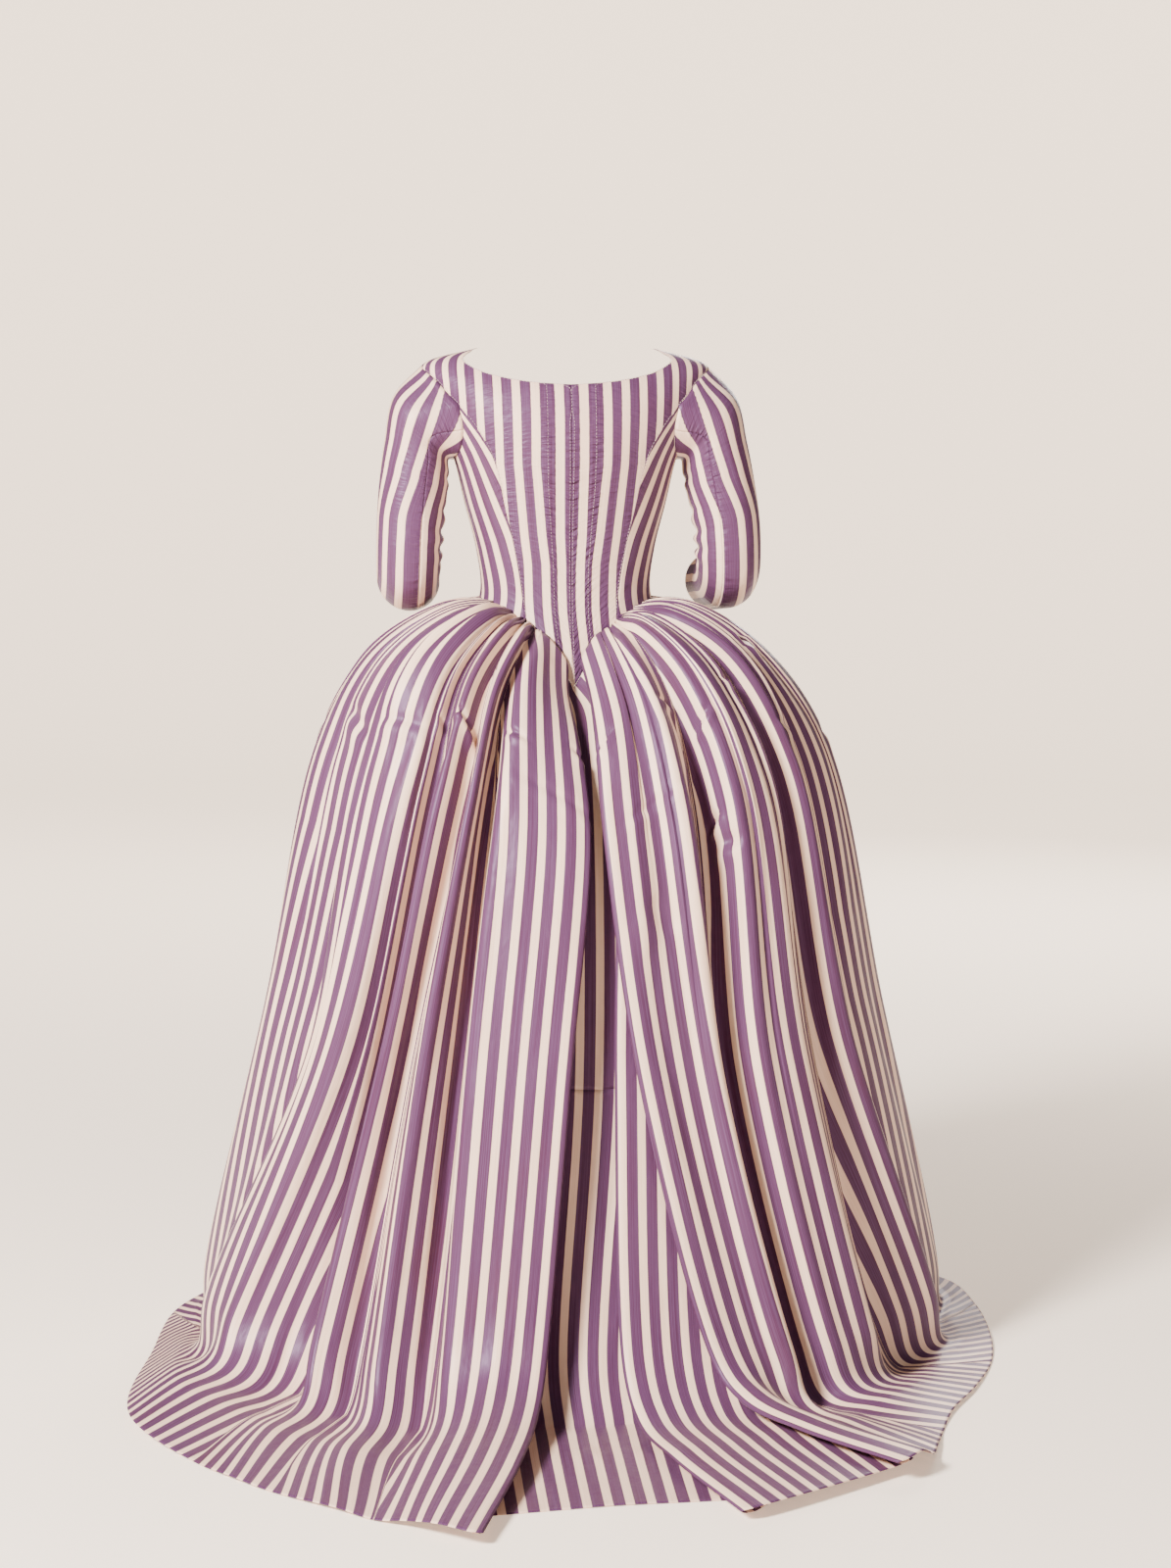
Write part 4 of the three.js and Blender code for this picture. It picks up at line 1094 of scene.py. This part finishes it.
def straight_head(from_seam, part, side):
    """Above the head's last ring the stripes run on straight, leaning in towards the neck."""
    ring, ring_seam = part[:, HEAD_ROW], from_seam[:, HEAD_ROW]
    up = np.array([-side * math.sin(HEAD_LEAN), 0, math.cos(HEAD_LEAN)])
    points = part[:, :HEAD_ROW].reshape(-1, 3)
    points = points + up * ((ring[:, 2].mean() - points[:, 2]) / up[2])[:, None]
    start, step = ring[:-1], np.diff(ring, axis=0)
    size = (step ** 2).sum(axis=1)
    share = np.clip(((points[:, None] - start) * step).sum(axis=2) / size, 0, 1)
    away = np.linalg.norm(points[:, None] - start - step * share[..., None], axis=2)
    k = away.argmin(axis=1)
    share = share[np.arange(len(k)), k]
    straight = ring_seam[k] * (1 - share) + ring_seam[k + 1] * share
    from_seam[:, :HEAD_ROW] = straight.reshape(len(part), HEAD_ROW)


def sleeve(side):
    rings = np.stack([armhole_ring(side), *[arm_ring(ring, k, side) for k, ring in enumerate(ARM)]])
    net = np.stack([curve(rings[:, n])(ARM_ROWS) for n in range(ARM_STEPS)])
    looped = np.concatenate([net[-1:], net, net[:1]])
    net = net + net_normals(looped)[1:-1] * side * elbow_relief()[..., None]
    whole = net[np.arange(FRONT_SEAM - ARM_STEPS, FRONT_SEAM + 1) % ARM_STEPS]
    run = along(whole, 0)
    middle = BACK_SEAM + ARM_STEPS - FRONT_SEAM
    signed = run - run[middle]
    straight_head(signed, whole, side)
    drift = SEAM_DRIFT * ease((ARM_ROWS - ARM_ROWS[HEAD_ROW]) / DRIFT_OVER)
    across = sleeve_measure(signed + drift)
    for name, first, last in (("sleeve_under_", middle, ARM_STEPS), ("sleeve_outer_", 0, middle)):
        part, place = whole[first:last + 1], across[first:last + 1]
        here = run[first:last + 1] - run[first]
        pucker = puckered("sleeve", here, here[-1] - here)
        if side < 0:
            part, place, pucker = part[::-1], place[::-1], pucker[::-1]
        silk_piece(name + SIDES[side], part, place, along(part, 1), pucker)


for side in SIDES:
    sleeve(side)
print("sleeve pieces:", [name for name in SILK if name.startswith("sleeve")])

# %% [markdown]
# ## Stitches
# The bodice is sewn with visible running stitches: down the centre back, on both tucks and along the
# curved seams. Each stitch is a short bar of thread, lying on the silk between two points of its net.

# %% Stitches
THREAD = 0.00028  # half the width of a thread
THREAD_TOP = 1.6  # how high it stands, in half widths
STITCH_LONG = 2.6
STITCH_GAP = 1.7
BAR_SIDES = [[k, (k + 1) % 4, 4 + (k + 1) % 4, 4 + k] for k in range(4)]
BAR_FACES = np.array([*BAR_SIDES, [3, 2, 1, 0], [4, 5, 6, 7]])


def stitch_bars():
    points, faces = [], []
    for path, normal in STITCH_LINES:
        path = path / 1000 + (0, 0, FLOOR)
        length = along(path[:, None], 0)[:, 0] * 1000
        for start in np.arange(3, length[-1] - STITCH_LONG, STITCH_LONG + STITCH_GAP):
            marks = np.array([start, start + STITCH_LONG])
            ends = np.stack([np.interp(marks, length, path[:, k]) for k in range(3)], 1)
            up = unit(np.array([np.interp(start, length, normal[:, k]) for k in range(3)]))
            side = unit(np.cross(ends[1] - ends[0], up)) * THREAD
            up = up * THREAD
            faces += (BAR_FACES + len(points)).tolist()
            for end in ends:
                points += [end - side, end + up * THREAD_TOP, end + side, end - up]
    return [tuple(p) for p in points], faces


THREAD_LOOK = {"Base Color": (0.42, 0.29, 0.33, 1), "Roughness": 0.7}
stitches = add_mesh("bodice_stitches", *stitch_bars())
stitches.data.materials.append(new_material("sewing_thread", THREAD_LOOK)[0])
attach(stitches, "root")
print(len(STITCH_LINES), "lines of stitches")

# %% [markdown]
# ## Striped silk
# The silk is a crisp plain weave with lengthwise stripes of mauve and cream. On a real gown the
# stripes are warp threads, so they are worked out here from the place across the silk and never
# painted on. Three node groups give what changes over the cloth: where the stripes are, what colour
# they have, and how the surface is crumpled and puckered. The three finishes of skirt, bodice and
# sleeves share them.

# %% Node helpers
def new_group(name, inputs, outputs):
    tree = bpy.data.node_groups.new(name, "ShaderNodeTree")
    for way, sockets in (("INPUT", inputs), ("OUTPUT", outputs)):
        for label, kind in sockets.items():
            tree.interface.new_socket(label, in_out=way, socket_type="NodeSocket" + kind)
    return tree, tree.nodes.new("NodeGroupInput").outputs, tree.nodes.new("NodeGroupOutput").inputs


def feed(tree, socket, value):
    if isinstance(value, bpy.types.NodeSocket):
        tree.links.new(value, socket)
    else:
        socket.default_value = value


def calc(tree, operation, *values):
    node = tree.nodes.new("ShaderNodeMath")
    node.operation = operation
    for socket, value in zip(node.inputs, values):
        feed(tree, socket, value)
    return node.outputs[0]


def step_between(tree, value, low, high):
    node = tree.nodes.new("ShaderNodeMapRange")
    node.interpolation_type = "SMOOTHSTEP"
    for label, given in (("Value", value), ("From Min", low), ("From Max", high)):
        feed(tree, node.inputs[label], given)
    return node.outputs["Result"]


def noise(tree, place, scale, detail=2.0):
    """Noise over the cloth, with a scale of its own across and along it."""
    stretch = tree.nodes.new("ShaderNodeVectorMath")
    stretch.operation = "MULTIPLY"
    feed(tree, stretch.inputs[0], place)
    feed(tree, stretch.inputs[1], (scale[0], scale[1], 0))
    node = tree.nodes.new("ShaderNodeTexNoise")
    node.inputs["Scale"].default_value = 1
    node.inputs["Detail"].default_value = detail
    feed(tree, node.inputs["Vector"], stretch.outputs[0])
    return node.outputs["Fac"]


def blend(tree, share, first, second):
    node = tree.nodes.new("ShaderNodeMix")
    node.data_type = "RGBA"
    feed(tree, node.inputs[0], share)
    feed(tree, node.inputs[6], first)
    feed(tree, node.inputs[7], second)
    return node.outputs[2]


# %% [markdown]
# A mauve stripe is centred on each whole repeat. Its edges are crisp, with the small unevenness of
# single threads. Within a stripe the threads differ slightly in shade, most in the mauve, and old
# silk has darkened a little in patches.

# %% Stripes
EDGE_SOFT = 0.014  # half the blur of a stripe's edge, in repeats
MAUVE_THREADS = ((0.066, 0.021, 0.054, 1), (0.105, 0.048, 0.112, 1))
CREAM_THREADS = ((0.74, 0.51, 0.38, 1), (0.84, 0.62, 0.49, 1))
AGED_MAUVE, AGED_CREAM = (0.10, 0.030, 0.045, 1), (0.66, 0.52, 0.36, 1)


def stripes_group():
    outputs = {"Mauve": "Float", "Thread": "Float"}
    tree, given, made = new_group("silk_stripes", {"Cloth": "Vector"}, outputs)
    place = given["Cloth"]
    split = tree.nodes.new("ShaderNodeSeparateXYZ")
    feed(tree, split.inputs[0], place)
    waver = calc(tree, "MULTIPLY_ADD", noise(tree, place, (300, 25)), 0.02, -0.01)
    repeat = calc(tree, "ADD", calc(tree, "DIVIDE", split.outputs[0], REPEAT / 1000), waver)
    part = calc(tree, "FRACT", calc(tree, "ADD", repeat, 0.5))
    off = calc(tree, "ABSOLUTE", calc(tree, "SUBTRACT", part, 0.5))
    half = MAUVE / REPEAT / 2
    cream = step_between(tree, off, half - EDGE_SOFT, half + EDGE_SOFT)
    feed(tree, made["Mauve"], calc(tree, "SUBTRACT", 1.0, cream))
    feed(tree, made["Thread"], noise(tree, place, (1500, 5), 3))
    return tree


def colour_group():
    inputs = {"Cloth": "Vector", "Mauve": "Float", "Thread": "Float"}
    tree, given, made = new_group("silk_colour", inputs, {"Color": "Color"})
    threads = step_between(tree, given["Thread"], 0.3, 0.7)
    mauve, cream = blend(tree, threads, *MAUVE_THREADS), blend(tree, threads, *CREAM_THREADS)
    aged = step_between(tree, noise(tree, given["Cloth"], (9, 5), 4), 0.55, 0.75)
    cream = blend(tree, calc(tree, "MULTIPLY", aged, 0.35), cream, AGED_CREAM)
    mauve = blend(tree, calc(tree, "MULTIPLY", aged, 0.25), mauve, AGED_MAUVE)
    feed(tree, made["Color"], blend(tree, given["Mauve"], cream, mauve))
    return tree


# %% [markdown]
# Crisp silk never lies quite flat: it keeps a faint crumple, longer down the cloth than across it.
# Where it is sewn through, small puckers run across the stripes, strongest in the mauve, where the
# stitched tucks lie.

# %% Relief of the weave
def relief_group():
    inputs = {"Cloth": "Vector", "Mauve": "Float", "Pucker": "Float"}
    tree, given, made = new_group("silk_relief", inputs, {"Height": "Float"})
    place = given["Cloth"]
    crumple = noise(tree, place, (34, 15), 3)
    fine = calc(tree, "MULTIPLY", noise(tree, place, (120, 60), 2), 0.16)
    ridges = noise(tree, place, (42, 190), 2)
    ridges = calc(tree, "POWER", step_between(tree, ridges, 0.28, 0.72), 1.4)
    where = calc(tree, "MULTIPLY_ADD", given["Mauve"], 0.75, 0.25)
    puckers = calc(tree, "MULTIPLY", calc(tree, "MULTIPLY", ridges, where), given["Pucker"])
    height = calc(tree, "ADD", calc(tree, "ADD", crumple, fine), calc(tree, "MULTIPLY", puckers, 1.7))
    feed(tree, made["Height"], height)
    return tree


# %% The three finishes
STRIPES, COLOUR, RELIEF = stripes_group(), colour_group(), relief_group()
SILK_SHINE = {
    "Specular IOR Level": 0.2,
    "Specular Tint": (0.86, 0.70, 1.0, 1),
    "Sheen Weight": 0.02,
    "Sheen Roughness": 0.35,
    "Sheen Tint": (0.86, 0.74, 1.0, 1),
}


def use_group(tree, group, **given):
    node = tree.nodes.new("ShaderNodeGroup")
    node.node_tree = group
    for label, value in given.items():
        feed(tree, node.inputs[label], value)
    return node.outputs


def silk_finish(name, rough, bump):
    material, shader = new_material(name, {"Roughness": rough, **SILK_SHINE})
    tree = material.node_tree
    place = tree.nodes.new("ShaderNodeAttribute")
    place.attribute_name = "cloth"
    split = tree.nodes.new("ShaderNodeSeparateXYZ")
    feed(tree, split.inputs[0], place.outputs["Vector"])
    stripes = use_group(tree, STRIPES, Cloth=place.outputs["Vector"])
    known = {"Cloth": place.outputs["Vector"], "Mauve": stripes["Mauve"]}
    colour = use_group(tree, COLOUR, Thread=stripes["Thread"], **known)
    relief = use_group(tree, RELIEF, Pucker=split.outputs[2], **known)
    relief_bump = tree.nodes.new("ShaderNodeBump")
    relief_bump.inputs["Strength"].default_value = 1.0
    relief_bump.inputs["Distance"].default_value = bump
    feed(tree, relief_bump.inputs["Height"], relief["Height"])
    feed(tree, shader.inputs["Base Color"], colour["Color"])
    feed(tree, shader.inputs["Normal"], relief_bump.outputs[0])
    return material


FINISHES = {
    "skirt": silk_finish("skirt_silk", 0.40, 0.0022),
    "bodice": silk_finish("bodice_silk", 0.42, 0.0016),
    "sleeve": silk_finish("sleeve_silk", 0.41, 0.0018),
}
for name, piece in SILK.items():
    piece.data.materials.append(FINISHES[name.split("_")[0]])
print("finishes:", [material.name for material in FINISHES.values()])

# %% [markdown]
# ## The studio
# The gown stands on a plain pale floor that curves up far behind it into a wall, so that no horizon
# shows. Floor and wall carry painted light: they glow faintly near the gown and more where they are far
# from it, standing in for lamp light on the backdrop. The wall is for the eye alone: it neither shades
# nor lights the silk. A large soft light stands high on the wearer's left and the room fills the rest.
# A weak light on the other side keeps the folds there readable, and one in front of the gown shows its
# front.

# %% Floor and wall
FLOOR_FLAT = 7.0  # radius of the flat floor
WALL_BEND = 3.0
WALL_TOP = 7.0
AROUND = 96
PAINTED_GLOW_FROM_TO = (0.6, 5.0)  # distances from the gown between which the paper's glow grows
# strength of the paper's painted glow, near the gown and far from it
PAINTED_GLOW = (0.5, 2.2)


def round_sheet(name, profile, material):
    """A surface turned about the vertical axis from (radius, height) pairs."""
    turn_by = np.linspace(0, 2 * math.pi, AROUND, endpoint=False)
    points = [(r * math.cos(t), r * math.sin(t), z) for r, z in profile for t in turn_by]
    faces = []
    for k in range(len(profile) - 1):
        for n in range(AROUND):
            a, b = k * AROUND + n, k * AROUND + (n + 1) % AROUND
            faces.append((a, b, b + AROUND, a + AROUND))
    sheet = add_mesh(name, points, faces)
    sheet.data.polygons.foreach_set("use_smooth", np.ones(len(faces), bool))
    sheet.data.materials.append(material)
    return sheet


def paint_glow_from_afar(tree, socket):
    """Painted light: the paper glows more the farther it is from the gown, as if lit by lamps of its
    own.
    """
    place = tree.nodes.new("ShaderNodeNewGeometry").outputs["Position"]
    flat = tree.nodes.new("ShaderNodeVectorMath")
    flat.operation = "MULTIPLY"
    feed(tree, flat.inputs[0], place)
    feed(tree, flat.inputs[1], (1, 1, 0))
    away = tree.nodes.new("ShaderNodeVectorMath")
    away.operation = "LENGTH"
    feed(tree, away.inputs[0], flat.outputs[0])
    share = step_between(tree, away.outputs["Value"], *PAINTED_GLOW_FROM_TO)
    low, high = PAINTED_GLOW
    feed(tree, socket, calc(tree, "MULTIPLY_ADD", share, high - low, low))


# The paper's emission is painted light, a glow that stands in for lamps on the backdrop.
pale, shader = new_material("pale_paper_painted_glow", {
    "Base Color": (0.90, 0.80, 0.71, 1),
    "Roughness": 0.9,
    "Specular IOR Level": 0.1,
    "Emission Color": (1.0, 0.79, 0.60, 1),
})
paint_glow_from_afar(pale.node_tree, shader.inputs["Emission Strength"])
round_sheet("studio_floor", [(0.001, FLOOR), (FLOOR_FLAT, FLOOR)], pale)
bend = [
    (FLOOR_FLAT + WALL_BEND * math.sin(t), FLOOR + WALL_BEND * (1 - math.cos(t)))
    for t in np.linspace(0, math.pi / 2, 24)
]
wall = round_sheet("studio_wall", [*bend, (FLOOR_FLAT + WALL_BEND, WALL_TOP)], pale)
wall.visible_diffuse = wall.visible_glossy = wall.visible_shadow = False

# %% Lights
LIT_POINT = Vector((0, 0.1, -0.6))
LIGHTS = table(
    "name place size power colour",
    ("key", (2.9, 3.1, 1.8), 1.2, 900, (1.0, 0.94, 0.87)),
    ("fill", (-2.4, 3.6, 0.2), 2.4, 22, (1.0, 0.93, 0.87)),
    ("front", (-1.6, -3.8, 1.4), 2.2, 170, (1.0, 0.95, 0.90)),
)
for row in LIGHTS:
    data = bpy.data.lights.new(row["name"], "AREA")
    data.shape = "DISK"
    data.size = row["size"]
    data.energy = row["power"]
    data.color = row["colour"]
    light = add(row["name"], data)
    light.location = row["place"]
    light.rotation_euler = (LIT_POINT - light.location).to_track_quat("-Z", "Y").to_euler()

world = bpy.data.worlds.new("studio")
bpy.context.scene.world = world
world.use_nodes = True
background = world.node_tree.nodes["Background"].inputs
background["Color"].default_value = (1.0, 0.88, 0.80, 1)
background["Strength"].default_value = 0.26
print("lights:", [row["name"] for row in LIGHTS])
